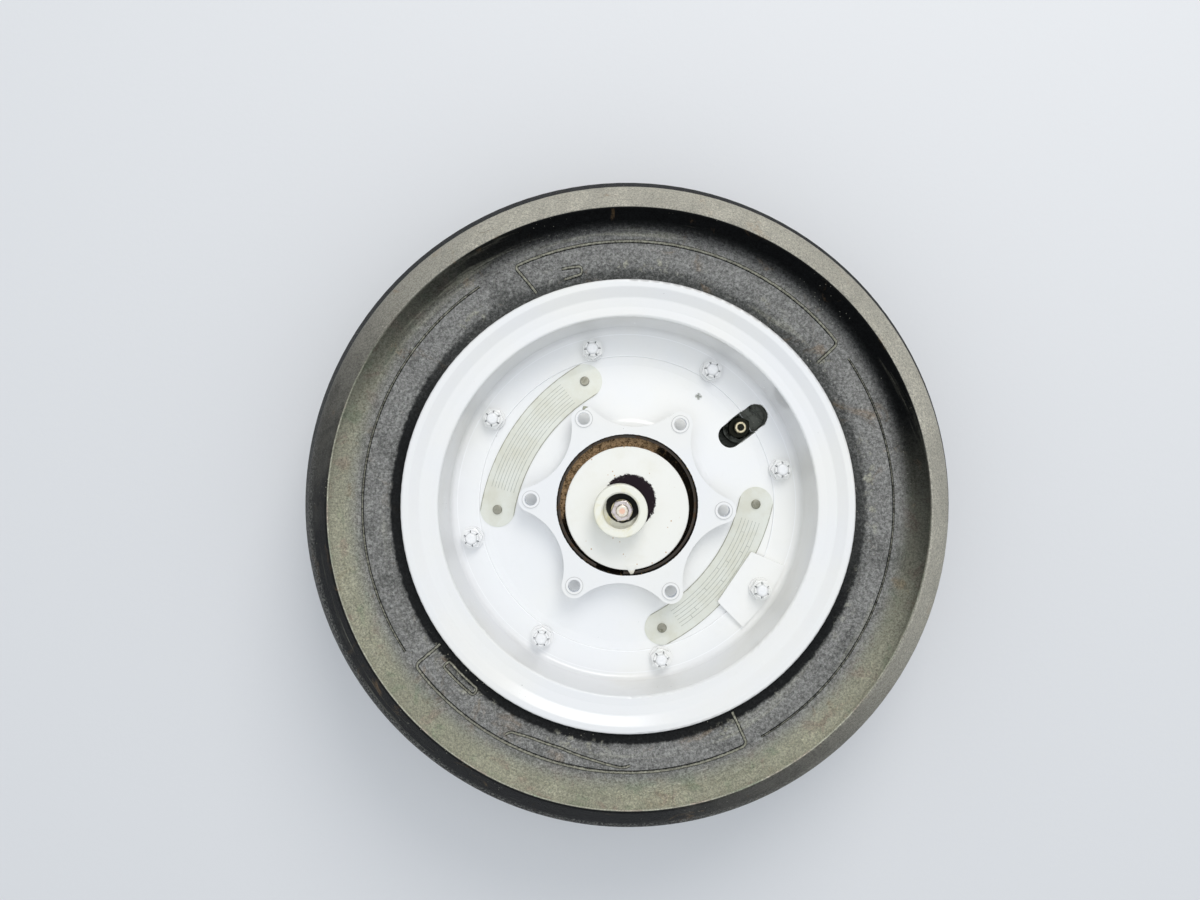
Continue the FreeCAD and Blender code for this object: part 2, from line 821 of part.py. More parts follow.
def make_hub_collar():
    top = disc_face + collar_height
    floor = disc_face + collar_floor
    collar = turned([(0, disc_face), (collar_radius, disc_face), (collar_radius, top, collar_rounding),
                     (collar_bore_radius + collar_chamfer, top), (collar_bore_radius, top - collar_chamfer),
                     (collar_bore_radius, floor, collar_floor_rounding), (0, floor)])
    hole = cylinder(collar_hole_radius, disc_face - overcut, floor + overcut,
                    Vector(*hub_bolt_centre) - Vector(*collar_centre))
    return moved(collar.cut(hole), collar_centre)


hub_washer_seat = disc_face + collar_floor
hub_nut_seat = hub_washer_seat + hub_washer_thickness
hub_bolt_top = hub_nut_seat + hub_nut_height + hub_bolt_end
hub_bolt_seat = -disc_face - plain_washer_thickness


def make_hub_washer():
    return moved(washer(hub_washer_radius, bolt_radius, hub_washer_seat, hub_nut_seat), hub_bolt_centre)


def make_hub_nut():
    nut = hexagon(hex_across_flats, hub_nut_seat, hub_nut_seat + hub_nut_height, hub_nut_angle)
    return moved(nut.cut(cylinder(bolt_radius, 0, hub_bolt_top)), hub_bolt_centre)


def make_plain_washer():
    return moved(washer(plain_washer_radius, bolt_radius, hub_bolt_seat, -disc_face), hub_bolt_centre)


def make_hub_bolt():
    shank = turned([(0, hub_bolt_seat), (bolt_radius, hub_bolt_seat),
                    (bolt_radius, hub_bolt_top, hub_bolt_rounding), (0, hub_bolt_top)])
    head = hexagon(hex_across_flats, -hub_bolt_seat, -hub_bolt_seat + head_height, hub_bolt_head_angle)
    return moved(shank.fuse(lower(head)).removeSplitter(), hub_bolt_centre)


# ---------------------------------------------------------------- tyre
def make_tyre():
    slope = flange_lean / (flange_radius - flange_bend_radius)
    lap = flange_radius + wall_lap
    chine_radius = crown_radius - chine_drop
    channel_radius = crown_radius - channel_drop
    low_radius, mid_radius, top_radius = (
        lap + share * (chine_radius - lap) for share in (wall_low_share, wall_mid_share, wall_top_share)
    )
    toe = bead_seat_start + bead_toe_gap
    outside = [
        (crown_radius, crown_half_width, crown_rounding),
        (crown_radius - shoulder_drop, shoulder_height, shoulder_rounding),
        (crown_radius - bulge_drop, bulge_height, bulge_rounding),
        (chine_radius + chine_lip_width, chine_height, chine_lip_rounding),
        (chine_radius, chine_height, chine_lip_rounding),
        (crown_radius - chine_root_drop, chine_root_height, chine_root_rounding),
        (channel_radius, channel_height, channel_rounding),
        (top_radius, wall_top_height, wall_top_rounding),
        (mid_radius, wall_mid_height, wall_mid_rounding),
        (low_radius, wall_low_height, wall_low_rounding),
        (lap, flange_face + flange_lean + wall_lap * slope, wall_lap_rounding),
        (flange_bend_radius, flange_face, flange_bend_rounding),
        (bead_seat_radius, flange_face, bead_heel_rounding),
    ]
    inside = [
        (bead_seat_radius, toe),
        (bead_seat_radius + bead_toe_height, toe - bead_toe_drop, bead_toe_rounding),
        (low_radius - bead_core_width, wall_low_height - bead_core_depth, carcass_rounding),
        (mid_radius, wall_mid_height - carcass, carcass_rounding),
        (channel_radius, channel_height - carcass, carcass_rounding),
        (crown_radius - tread_depth, crown_half_width, tread_inner_rounding),
    ]
    tyre = turned(outside + inside + flipped(inside)[::-1] + flipped(outside)[::-1])
    for height in (-groove_pitch, 0, groove_pitch):
        floor = crown_radius - groove_depth - abs(height) * groove_fall_share
        low = height - groove_width / 2
        high = height + groove_width / 2
        tyre = tyre.cut(turned([(floor, low), (crown_radius + overcut, low),
                                (crown_radius + overcut, high), (floor, high)]))
    return tyre


pieces = {
    "tyre": make_tyre(),
    "outer_wheel_half": make_outer_wheel_half(),
    "inner_wheel_half": make_inner_wheel_half(),
    "rim_seal_ring": make_rim_seal_ring(),
    "tie_bolts": make_tie_bolts(),
    "tie_bolt_washers": make_tie_bolt_washers(),
    "tie_nut_washers": make_tie_nut_washers(),
    "tie_nuts": make_tie_nuts(),
    "balance_weight": make_balance_weight(),
    "nameplate_rivets": make_nameplate_rivets(),
    "web_plug": make_web_plug(),
    "flange_bushings": make_flange_bushings(),
    "valve_gasket": make_valve_gasket(),
    "valve_stem": make_valve_stem(),
    "valve_core": make_valve_core(),
    "valve_pin": make_valve_pin(),
    "upper_hub_disc": make_hub_disc(upper_disc_centre),
    "lower_hub_disc": lower(make_hub_disc(lower_disc_centre)),
    "hub_collar": make_hub_collar(),
    "hub_washer": make_hub_washer(),
    "hub_nut": make_hub_nut(),
    "plain_washer": make_plain_washer(),
    "hub_bolt": make_hub_bolt(),
}
for name, degrees in plate_angles.items():
    pieces[name] = make_nameplate(degrees)
bearing_pieces = {
    "bearing_cup": make_bearing_cup(),
    "bearing_cone": make_bearing_cone(),
    "bearing_rollers": make_bearing_rollers(),
    "bearing_cage": make_bearing_cage(),
    "felt_seal": make_felt_seal(),
    "retaining_ring": make_retaining_ring(),
}
for name, shape in bearing_pieces.items():
    pieces["upper_" + name] = shape
    pieces["lower_" + name] = lower(shape)

os.makedirs("parts", exist_ok=True)
for name, shape in pieces.items():
    shape.exportStep("parts/" + name + ".step")
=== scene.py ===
import math

import bpy
import bmesh
import numpy as np
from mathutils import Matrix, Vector


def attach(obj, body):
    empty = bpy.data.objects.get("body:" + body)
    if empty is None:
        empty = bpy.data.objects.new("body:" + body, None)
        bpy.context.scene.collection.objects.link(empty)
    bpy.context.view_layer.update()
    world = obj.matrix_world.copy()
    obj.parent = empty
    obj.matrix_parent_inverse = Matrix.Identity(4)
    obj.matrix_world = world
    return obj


# An aircraft nose wheel lying on its side: finishes for its CAD pieces, and the small moulded, painted
# and threaded details that the CAD leaves out. Blender's lengths are in metres; mm turns millimetres into
# them.

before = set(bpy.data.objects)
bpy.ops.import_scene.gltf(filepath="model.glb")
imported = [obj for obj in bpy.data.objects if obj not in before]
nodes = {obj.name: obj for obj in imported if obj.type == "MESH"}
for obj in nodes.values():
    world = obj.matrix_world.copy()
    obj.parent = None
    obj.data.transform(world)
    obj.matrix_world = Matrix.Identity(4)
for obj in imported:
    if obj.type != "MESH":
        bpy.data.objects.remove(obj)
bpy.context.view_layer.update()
mm = 0.001
print("frame loaded:", len(nodes), "nodes")


# Node helpers. A value that is a socket gets linked, anything else is typed into the input. Coordinates in
# the node trees are in metres; lengths in the dictionaries are in mm, and each texture scale is per metre.
def feed(tree, socket, value):
    if isinstance(value, bpy.types.NodeSocket):
        tree.links.new(value, socket)
    elif socket.type == "RGBA" and len(value) == 3:
        socket.default_value = (*value, 1.0)
    else:
        socket.default_value = value


def addNode(tree, kind, inputs=None, **settings):
    node = tree.nodes.new("ShaderNode" + kind)
    for key, value in settings.items():
        setattr(node, key, value)
    for key, value in (inputs or {}).items():
        feed(tree, node.inputs[key], value)
    return node


def calc(tree, operation, *values, clamp=False):
    return addNode(tree, "Math", dict(enumerate(values)), operation=operation, use_clamp=clamp).outputs[0]


def plus(tree, first, second, clamp=False):
    return calc(tree, "ADD", first, second, clamp=clamp)


def minus(tree, first, second):
    return calc(tree, "SUBTRACT", first, second)


def times(tree, first, second):
    return calc(tree, "MULTIPLY", first, second)


# value times factor, plus offset
def scaled(tree, value, factor, offset):
    return calc(tree, "MULTIPLY_ADD", value, factor, offset)


def larger(tree, first, second):
    return calc(tree, "MAXIMUM", first, second)


def unsigned(tree, value):
    return calc(tree, "ABSOLUTE", value)


def square(tree, value):
    return calc(tree, "POWER", value, 2.0)


def split(tree, place):
    return addNode(tree, "SeparateXYZ", {0: place}).outputs


def timesEach(tree, vector, factors):
    return addNode(tree, "VectorMath", {0: vector, 1: factors}, operation="MULTIPLY").outputs[0]


# 0 below low, 1 above high, smooth between; low above high turns it round
def rise(tree, value, low, high):
    inputs = {"Value": value, "From Min": low, "From Max": high}
    return addNode(tree, "MapRange", inputs, interpolation_type="SMOOTHSTEP").outputs[0]


# The same over a span of lengths in mm
def riseOver(tree, value, span):
    return rise(tree, value, span[0] * mm, span[1] * mm)


# 1 inside a span in mm, with ends that are soft over the third number
def band(tree, value, span):
    low, high, soft = span
    return times(tree, riseOver(tree, value, (low - soft, low + soft)),
                 riseOver(tree, value, (high + soft, high - soft)))


def blend(tree, factor, first, second, mode="MIX"):
    node = addNode(tree, "Mix", {0: factor, 6: first, 7: second}, data_type="RGBA", blend_type=mode)
    return node.outputs[2]


def noise(tree, place, scale, detail=4.0, roughness=0.55, distortion=0.0):
    return addNode(tree, "TexNoise", {"Vector": place, "Scale": scale, "Detail": detail,
                                      "Roughness": roughness, "Distortion": distortion}).outputs[0]


# Sparse round specks: 1 inside a speck, 0 elsewhere
def specks(tree, place, scale, size):
    cell = addNode(tree, "TexVoronoi", {"Vector": place, "Scale": scale, "Randomness": 1.0})
    return rise(tree, cell.outputs["Distance"], size, size * 0.6)


def bump(tree, height, distance, strength=1.0, normal=None):
    inputs = {"Height": height, "Distance": distance, "Strength": strength}
    if normal is not None:
        inputs["Normal"] = normal
    return addNode(tree, "Bump", inputs).outputs[0]


def onCircle(radius, degrees):
    return radius * math.cos(math.radians(degrees)), radius * math.sin(math.radians(degrees))


def objectPlace(tree):
    return addNode(tree, "TexCoord").outputs["Object"]


# Place seen from a centre given in mm, turned by an angle in degrees
def localPlace(tree, place, centre, degrees=0.0):
    spot = (centre[0] * mm, centre[1] * mm, 0.0)
    return addNode(tree, "Mapping", {"Vector": place, "Location": spot,
                                     "Rotation": (0.0, 0.0, math.radians(degrees))},
                   vector_type="TEXTURE").outputs[0]


# Distance from the place's own Z axis, angle around it in radians, and height
def polar(tree, place):
    flat = timesEach(tree, place, (1.0, 1.0, 0.0))
    radius = addNode(tree, "VectorMath", {0: flat}, operation="LENGTH").outputs["Value"]
    x, y, height = split(tree, place)
    return radius, calc(tree, "ARCTAN2", y, x), height


# A place drawn out around the Z axis, so that a noise on it runs in rings
def ringPlace(tree, place, stretch):
    flat = timesEach(tree, place, (1.0, 1.0, 0.0))
    towards = addNode(tree, "VectorMath", {0: flat}, operation="NORMALIZE").outputs[0]
    radius, _, height = polar(tree, place)
    ring = timesEach(tree, towards, (stretch, stretch, stretch))
    level = addNode(tree, "CombineXYZ", {0: 0.0, 1: radius, 2: minus(tree, height, radius)})
    return addNode(tree, "VectorMath", {0: ring, 1: level.outputs[0]}, operation="ADD").outputs[0]


def newMaterial(name, metallic=0.0, specular=0.5, coat=0.0, coatRoughness=0.03):
    material = bpy.data.materials.new(name)
    material.use_nodes = True
    shader = material.node_tree.nodes["Principled BSDF"]
    shader.inputs["Metallic"].default_value = metallic
    shader.inputs["Specular IOR Level"].default_value = specular
    shader.inputs["Coat Weight"].default_value = coat
    shader.inputs["Coat Roughness"].default_value = coatRoughness
    return material, material.node_tree, shader


def finishMaterial(tree, shader, colour, roughness, normal):
    feed(tree, shader.inputs["Base Color"], colour)
    feed(tree, shader.inputs["Roughness"], roughness)
    feed(tree, shader.inputs["Normal"], normal)


# Covers part of a glossy material, where mask is 1, with a matt one
def coverMatt(tree, shader, mask, colour, normal):
    matt = addNode(tree, "BsdfPrincipled", {"Base Color": colour, "Roughness": 0.9,
                                            "Specular IOR Level": 0.08, "Normal": normal})
    both = addNode(tree, "MixShader", {0: mask, 1: shader.outputs[0], 2: matt.outputs[0]})
    tree.links.new(both.outputs[0], tree.nodes["Material Output"].inputs["Surface"])


def dress(material, *names):
    for name in names:
        for slot in nodes[name].material_slots:
            slot.material = material


# Gloss paint. Dark specks, a faint orange peel and a soft change of tint are the same on every painted
# piece; extra adds a piece's own marks to (colour, roughness, height) and says where it is matt.
paintLook = {
    "white": (0.84, 0.85, 0.865),
    "warm": (0.86, 0.86, 0.84),
    "speck": (0.12, 0.11, 0.09),
    "gloss": 0.17,
    "peel": 0.00003,
}


def paintMaterial(name, look, extra=None):
    material, tree, shader = newMaterial(name, specular=0.5)
    place = objectPlace(tree)
    cloud = rise(tree, noise(tree, place, 14.0, 3.0), 0.35, 0.75)
    colour = blend(tree, cloud, look["white"], look["warm"])
    dust = rise(tree, noise(tree, place, 160.0, 6.0, 0.7), 0.55, 0.8)
    colour = blend(tree, times(tree, dust, 0.10), colour, (0.60, 0.59, 0.52))
    few = rise(tree, noise(tree, place, 45.0, 2.0), 0.66, 0.70)
    dark = times(tree, specks(tree, place, 300.0, 0.09), few)
    colour = blend(tree, dark, colour, look["speck"])
    roughness = scaled(tree, dust, 0.18, look["gloss"])
    height = noise(tree, place, 420.0, 2.0, 0.4)
    soil = None
    if extra:
        colour, roughness, height, soil = extra(tree, place, colour, roughness, height)
    normal = bump(tree, height, look["peel"])
    finishMaterial(tree, shader, colour, roughness, normal)
    if soil:
        coverMatt(tree, shader, soil, colour, normal)
    return material


# The wheel halves: primer in the hollow between the webs, dirt and painted shade along the hub's bore, chips
# and scuffs
halfLook = {
    "primer": (0.20, 0.21, 0.185),
    "oil": (0.022, 0.025, 0.020),
    "primerSpeck": (0.40, 0.40, 0.33),
    "hollow": (53.5, 97.0, 0.4),        # radii between which the webs stand apart
    "hollowDepth": (21.5, 20.5),
    "hollowLean": 0.13,
    "slotCentre": (79.8, 53.2),
    "slotAngle": 37.7,
    "slotRun": 11.0,
    "slotReach": (8.9, 8.55),
    "slotDepth": (16.3, 15.3),
    "bore": (47.45, 47.15),
    "boreDepth": (20.0, 21.5),
    "rust": (0.46, 0.30, 0.11),
    "grease": (0.005, 0.004, 0.003),
    "stepHighlight": (101.1, 101.6, 0.2),
    "rimFootHighlight": (115.8, 116.2, 0.2),
    "line": (0.97, 0.98, 1.0),
    "cornerGrimeAndShade": (119.5, 124.5, 1.2),
    "grimeAndShade": (0.30, 0.27, 0.20),
    "earFace": (32.5, 33.5),
    "chip": (0.36, 0.37, 0.28),
    "chipEdge": (0.12, 0.12, 0.08),
    "chipCentre": (-27.2, 66.4),
    "chipAngle": 25.0,
    "chipSize": (3.6, 1.45),
    "chipBend": 130.0,
    "scuff": (0.42, 0.41, 0.38),
    "scuffCentre": (72.5, -4.5),
    "scuffAngle": 30.0,
    "scuffReach": (33.0, 31.5),
}


# Dark primer in the hollow between the webs and on the walls of the valve's slot
def primerMask(tree, look, place, radius, depth, wobble):
    leaning = plus(tree, depth, times(tree, radius, look["hollowLean"]))
    hollow = times(tree, band(tree, radius, look["hollow"]), riseOver(tree, leaning, look["hollowDepth"]))
    x, y, _ = split(tree, localPlace(tree, place, look["slotCentre"], look["slotAngle"]))
    past = larger(tree, minus(tree, unsigned(tree, x), look["slotRun"] * mm), 0.0)
    reach = calc(tree, "SQRT", plus(tree, square(tree, past), square(tree, y)))
    walls = times(tree, riseOver(tree, reach, look["slotReach"]),
                  riseOver(tree, plus(tree, depth, wobble), look["slotDepth"]))
    return larger(tree, hollow, walls)


# How far out a spot lies in a bean-shaped chip of paint: 1 on its edge
def chipReach(tree, look, place, wobble):
    x, y, _ = split(tree, localPlace(tree, place, look["chipCentre"], look["chipAngle"]))
    bend = times(tree, square(tree, x), look["chipBend"])
    across = calc(tree, "DIVIDE", plus(tree, y, bend), look["chipSize"][1] * mm)
    along = calc(tree, "DIVIDE", x, look["chipSize"][0] * mm)
    far = plus(tree, square(tree, across), square(tree, along))
    return plus(tree, far, times(tree, wobble, 220.0))


def scuffMask(tree, look, place):
    local = localPlace(tree, place, look["scuffCentre"], look["scuffAngle"])
    drawn = timesEach(tree, local, (300.0, 1100.0, 300.0))
    scratch = rise(tree, noise(tree, drawn, 1.0, 3.0), 0.60, 0.68)
    near = addNode(tree, "VectorMath", {0: local}, operation="LENGTH").outputs["Value"]
    return times(tree, scratch, riseOver(tree, near, look["scuffReach"]))


def halfMarks(tree, place, colour, roughness, height):
    look = halfLook
    radius, _, level = polar(tree, place)
    depth = unsigned(tree, level)
    wobble = scaled(tree, noise(tree, place, 300.0, 5.0, 0.7), 0.004, -0.002)

    primer = primerMask(tree, look, place, radius, depth, wobble)
    oily = rise(tree, noise(tree, place, 110.0, 6.0, 0.7, 0.8), 0.46, 0.66)
    undercoat = blend(tree, oily, look["primer"], look["oil"])
    undercoat = blend(tree, specks(tree, place, 420.0, 0.15), undercoat, look["primerSpeck"])
    colour = blend(tree, primer, colour, undercoat)
    roughness = scaled(tree, primer, 0.35, roughness)

    # rust and old grease inside the bore, near black, which also serves as painted shade on the bore's wall,
    # with a thin stain on its edge
    edge = plus(tree, radius, scaled(tree, noise(tree, place, 500.0, 5.0, 0.7), 0.0009, -0.00045))
    inside = times(tree, riseOver(tree, edge, look["bore"]), riseOver(tree, depth, look["boreDepth"]))
    flecked = rise(tree, noise(tree, place, 300.0, 5.0, 0.75), 0.60, 0.65)
    colour = blend(tree, inside, colour, blend(tree, flecked, look["grease"], look["rust"]))
    roughness = scaled(tree, inside, 0.3, roughness)

    # the step of the bolt land and the foot of the rim carry a painted highlight: a paler line along each
    # edge
    ring = larger(tree, band(tree, radius, look["stepHighlight"]), band(tree, radius, look["rimFootHighlight"]))
    colour = blend(tree, times(tree, ring, 0.8), colour, look["line"])
    # grime with painted shade in the corner at the foot of the rim
    shade = times(tree, band(tree, radius, look["cornerGrimeAndShade"]),
                  rise(tree, noise(tree, place, 30.0, 4.0), 0.45, 0.75))
    colour = blend(tree, times(tree, shade, 0.10), colour, look["grimeAndShade"])

    # a bean of paint has chipped off near the tip of one ear, and another ear is scuffed
    earFace = riseOver(tree, level, look["earFace"])
    far = chipReach(tree, look, place, wobble)
    chipped = times(tree, rise(tree, far, 1.08, 0.94), earFace)
    colour = blend(tree, chipped, colour, blend(tree, rise(tree, far, 0.55, 0.95), look["chip"],
                                                look["chipEdge"]))
    roughness = scaled(tree, chipped, 0.4, roughness)
    height = minus(tree, height, times(tree, chipped, 5.0))
    scuff = times(tree, scuffMask(tree, look, place), earFace)
    colour = blend(tree, times(tree, scuff, 0.5), colour, look["scuff"])
    height = minus(tree, height, times(tree, scuff, 2.0))
    return colour, roughness, height, larger(tree, primer, inside)


halfPaint = paintMaterial("wheel half paint", paintLook, halfMarks)
dress(halfPaint, "outer_wheel_half", "inner_wheel_half")


# Place in a repeated pattern around the wheel: x and y from the nearest repeat, and its number
def repeatPlace(tree, place, count, first, circle):
    radius, angle, level = polar(tree, place)
    step = 2 * math.pi / count
    turns = calc(tree, "DIVIDE", minus(tree, angle, math.radians(first)), step)
    number = calc(tree, "ROUND", turns)
    off = times(tree, minus(tree, turns, number), step)
    x = minus(tree, times(tree, radius, calc(tree, "COSINE", off)), circle * mm)
    y = times(tree, radius, calc(tree, "SINE", off))
    return addNode(tree, "CombineXYZ", {0: x, 1: y, 2: level}).outputs[0], number


# Tie nuts: a thin dark line of painted shade lies along the middle of each slot in the crown
nutLook = {
    "count": 8,
    "circle": 108.0,
    "first": 12.5,
    "turn": 17.0,                       # each nut is turned by this more than the one before
    "line": (0.42, 0.252),
    "reach": (4.0, 5.6, 0.3),
    "slotShade": (0.10, 0.11, 0.12),
}


def nutMarks(tree, place, colour, roughness, height):
    look = nutLook
    local, number = repeatPlace(tree, place, look["count"], look["first"], look["circle"])
    near, angle, _ = polar(tree, local)
    number = calc(tree, "FLOORED_MODULO", number, float(look["count"]))
    turn = times(tree, number, math.radians(360.0 / look["count"] - look["turn"]))
    spun = plus(tree, plus(tree, angle, turn), math.radians(look["first"]))
    # the six slots lie where the cosine of three times the angle is nothing
    side = unsigned(tree, calc(tree, "COSINE", times(tree, spun, 3.0)))
    apart = calc(tree, "DIVIDE", times(tree, side, near), 3.0)
    slotShade = times(tree, riseOver(tree, apart, look["line"]), band(tree, near, look["reach"]))
    colour = blend(tree, times(tree, slotShade, 0.9), colour, look["slotShade"])
    return colour, roughness, height, None


# Bushings: a fine dark line where the collar of each sits on its ear, and a bluish grey painted shade on the
# wall of each bore
bushingLook = {
    "count": 6,
    "circle": 64.5,
    "first": -3.3,
    "ring": (5.55, 6.1, 0.1),
    "bore": (4.3, 4.1),
    "line": (0.35, 0.36, 0.36),
    "tint": (0.66, 0.70, 0.76),
}


def bushingMarks(tree, place, colour, roughness, height):
    look = bushingLook
    local, _ = repeatPlace(tree, place, look["count"], look["first"], look["circle"])
    near, _, _ = polar(tree, local)
    colour = blend(tree, times(tree, band(tree, near, look["ring"]), 0.5), colour, look["line"])
    colour = blend(tree, riseOver(tree, near, look["bore"]), colour, look["tint"])
    return colour, roughness, height, None


nutPaintLook = {**paintLook, "white": (0.86, 0.865, 0.875), "peel": 0.00005}
dress(paintMaterial("nut paint", nutPaintLook), "tie_nut_washers", "tie_bolt_washers", "balance_weight")
dress(paintMaterial("slotted nut paint", nutPaintLook, nutMarks), "tie_nuts")
dress(paintMaterial("bushing paint", nutPaintLook, bushingMarks), "flange_bushings")


# The plug's paint is worn off along the cross of its slots
plugLook = {
    "circle": 88.5,
    "turn": 56.1,
    "bars": (0.9, 0.5),
    "reach": (2.7, 2.0),
    "bare": (0.20, 0.22, 0.18),
}


def plugMarks(tree, place, colour, roughness, height):
    look = plugLook
    local = localPlace(tree, place, onCircle(look["circle"], look["turn"]))
    radius, _, _ = polar(tree, local)
    x, y, _ = split(tree, local)
    bars = calc(tree, "MINIMUM", unsigned(tree, x), unsigned(tree, y))
    cross = times(tree, riseOver(tree, bars, look["bars"]), riseOver(tree, radius, look["reach"]))
    colour = blend(tree, times(tree, cross, 0.75), colour, look["bare"])
    return colour, scaled(tree, cross, 0.4, roughness), height, None


dress(paintMaterial("plug paint", paintLook, plugMarks), "web_plug")
print("paint done")


# Tyre rubber: grey black with drawn out scuffs. The outside of each chine is painted lit in pale dust tones
# on the lamp's side of the wheel, and the hollow inside it is painted lit in pale clay tones on the far side;
# the rest of a chine is painted near black as shade, with some soot.
tyreLook = {
    "worn": (0.33, 0.33, 0.32),
    "rubber": (0.115, 0.118, 0.113),
    "shadeAndSoot": (0.010, 0.011, 0.012),
    "dust": (0.60, 0.575, 0.49),
    "clayAndLitTone": (0.66, 0.655, 0.52),
    "green": (0.40, 0.47, 0.34),
    "pink": (0.52, 0.42, 0.35),
    "rust": (0.34, 0.22, 0.11),
    "tread": (0.018, 0.019, 0.021),
    "pale": (0.55, 0.54, 0.44),
    "grit": (0.30, 0.30, 0.27),
    "lampSideTurn": 50.0,
    "farSideTurn": 247.0,
    "wornBand": (154.0, 181.0, 4.5),
    "lipRadius": 241.9,                 # where the chine's lip would meet the middle of the tread
    "lipLean": -0.7,
    "lipEdge": (-0.3, 0.3),
    "innerDepth": (50.5, 52.0),
    "innerFrom": (170.0, 186.5),
    "innerTo": (200.0, 198.5),
    "outerDepth": (44.0, 56.0),
    "treadFrom": (206.5, 209.5),
    "treadDepth": (56.0, 50.0),
    "gritFrom": (199.0, 203.0),
    "sootAndShadowTo": (155.0, 153.0),
    "paleBand": (153.5, 161.0, 2.0),
}


def rubberMaterial(name, look):
    material, tree, shader = newMaterial(name, specular=0.12)
    place = objectPlace(tree)
    radius, angle, level = polar(tree, place)
    depth = unsigned(tree, level)
    towardsLampSide = calc(tree, "COSINE", minus(tree, angle, math.radians(look["lampSideTurn"])))
    towardsFarSide = calc(tree, "COSINE", minus(tree, angle, math.radians(look["farSideTurn"])))
    rings = ringPlace(tree, place, 0.02)
    streaks = noise(tree, rings, 420.0, 5.0, 0.65)
    patches = noise(tree, place, 24.0, 6.0, 0.7, 0.8)
    grain = rise(tree, noise(tree, place, 480.0, 5.0, 0.8), 0.34, 0.66)
    mottle = noise(tree, place, 190.0, 5.0, 0.7)
    spread = plus(tree, radius, scaled(tree, mottle, 0.004, -0.002))
    ragged = scaled(tree, patches, 0.8, -0.4)

    # the wall is worn pale over its middle
    wear = times(tree, band(tree, spread, look["wornBand"]), rise(tree, patches, 0.15, 0.55))
    wear = scaled(tree, wear, 0.85, scaled(tree, streaks, 1.1, -0.55))
    wear = plus(tree, wear, scaled(tree, grain, 0.6, -0.3), clamp=True)
    colour = blend(tree, wear, look["rubber"], look["worn"])

    # the hollow inside the chine reaches from the wall to the lip, which leans inwards over it
    lip = scaled(tree, depth, look["lipLean"], look["lipRadius"] * mm)
    inner = times(tree, riseOver(tree, minus(tree, lip, radius), look["lipEdge"]),
                  riseOver(tree, depth, look["innerDepth"]))
    inner = times(tree, inner, riseOver(tree, spread, look["innerFrom"]))
    inner = times(tree, inner, riseOver(tree, radius, look["innerTo"]))
    # the hollow's face turns towards the lamp on the far side: there it is painted lit in pale clay tones,
    # and on the lamp's side it is painted near black as shade
    lit = rise(tree, plus(tree, towardsFarSide, times(tree, ragged, 0.6)), -0.75, 0.45)
    scuffed = times(tree, grain, rise(tree, patches, 0.3, 0.7))
    clayAndLitTone = blend(tree, times(tree, scuffed, 0.45), look["clayAndLitTone"], look["rubber"])
    tint = noise(tree, place, 55.0, 4.0, 0.6, 0.5)
    clayAndLitTone = blend(tree, times(tree, rise(tree, tint, 0.54, 0.66), 0.6), clayAndLitTone, look["green"])
    clayAndLitTone = blend(tree, times(tree, rise(tree, tint, 0.46, 0.34), 0.6), clayAndLitTone, look["pink"])
    colour = blend(tree, inner, colour, blend(tree, lit, look["shadeAndSoot"], clayAndLitTone))

    # its outside slopes down to the shoulder; it is painted lit in pale dust tones on the lamp's side and
    # near black as shade on the far side
    outer = times(tree, riseOver(tree, minus(tree, radius, lip), look["lipEdge"]),
                  riseOver(tree, depth, look["outerDepth"]))
    dustLitSide = rise(tree, plus(tree, towardsLampSide, ragged), -0.75, 0.55)
    dust = blend(tree, times(tree, scuffed, 0.6), look["dust"], look["rubber"])
    colour = blend(tree, outer, colour, blend(tree, dustLitSide, look["shadeAndSoot"], dust))

    # rust blooms and clay smears
    rusty = times(tree, rise(tree, noise(tree, place, 38.0, 5.0, 0.65, 1.0), 0.58, 0.72), 0.35)
    colour = blend(tree, rusty, colour, look["rust"])
    smear = times(tree, rise(tree, noise(tree, rings, 60.0, 5.0, 0.7), 0.58, 0.72), 0.30)
    colour = blend(tree, smear, colour, look["clayAndLitTone"])

    # tread and shoulder are painted darker, nearly black, as shade, and rough
    tread = times(tree, riseOver(tree, radius, look["treadFrom"]), riseOver(tree, depth, look["treadDepth"]))
    colour = blend(tree, times(tree, tread, 0.9), colour, look["tread"])

    # grit clings to the shoulder on the far side from the lamp
    grit = times(tree, rise(tree, noise(tree, place, 620.0, 3.0, 0.8), 0.50, 0.58),
                 rise(tree, plus(tree, towardsFarSide, ragged), -0.1, 0.7))
    grit = times(tree, grit, riseOver(tree, radius, look["gritFrom"]))
    colour = blend(tree, times(tree, grit, 0.7), colour, look["grit"])

    # a little soot beside the rim, under a painted shadow of the rim's flange that is thickest on the far
    # side from the lamp, with pale grit in it
    sootAndShadowWeight = scaled(tree, rise(tree, towardsFarSide, -0.80, 0.15), 0.85, 0.12)
    sootAndRimShadow = times(tree, riseOver(tree, spread, look["sootAndShadowTo"]), sootAndShadowWeight)
    colour = blend(tree, sootAndRimShadow, colour, look["shadeAndSoot"])
    gritty = times(tree, band(tree, spread, look["paleBand"]), rise(tree, mottle, 0.53, 0.60))
    gritty = times(tree, gritty, rise(tree, noise(tree, place, 28.0, 3.0), 0.46, 0.62))
    colour = blend(tree, times(tree, gritty, 0.65), colour, look["pale"])
    dots = times(tree, specks(tree, place, 330.0, 0.12),
                 rise(tree, noise(tree, place, 30.0, 2.0), 0.50, 0.62))
    colour = blend(tree, times(tree, dots, 0.8), colour, look["pale"])

    roughness = scaled(tree, larger(tree, dustLitSide, gritty), 0.25, 0.55)
    height = plus(tree, times(tree, streaks, 0.8),
                  scaled(tree, tread, noise(tree, place, 260.0, 5.0, 0.7), grain))
    height = scaled(tree, gritty, 1.2, height)
    if "crest" in look:
        crest = addNode(tree, "Attribute", attribute_name="crest").outputs["Fac"]
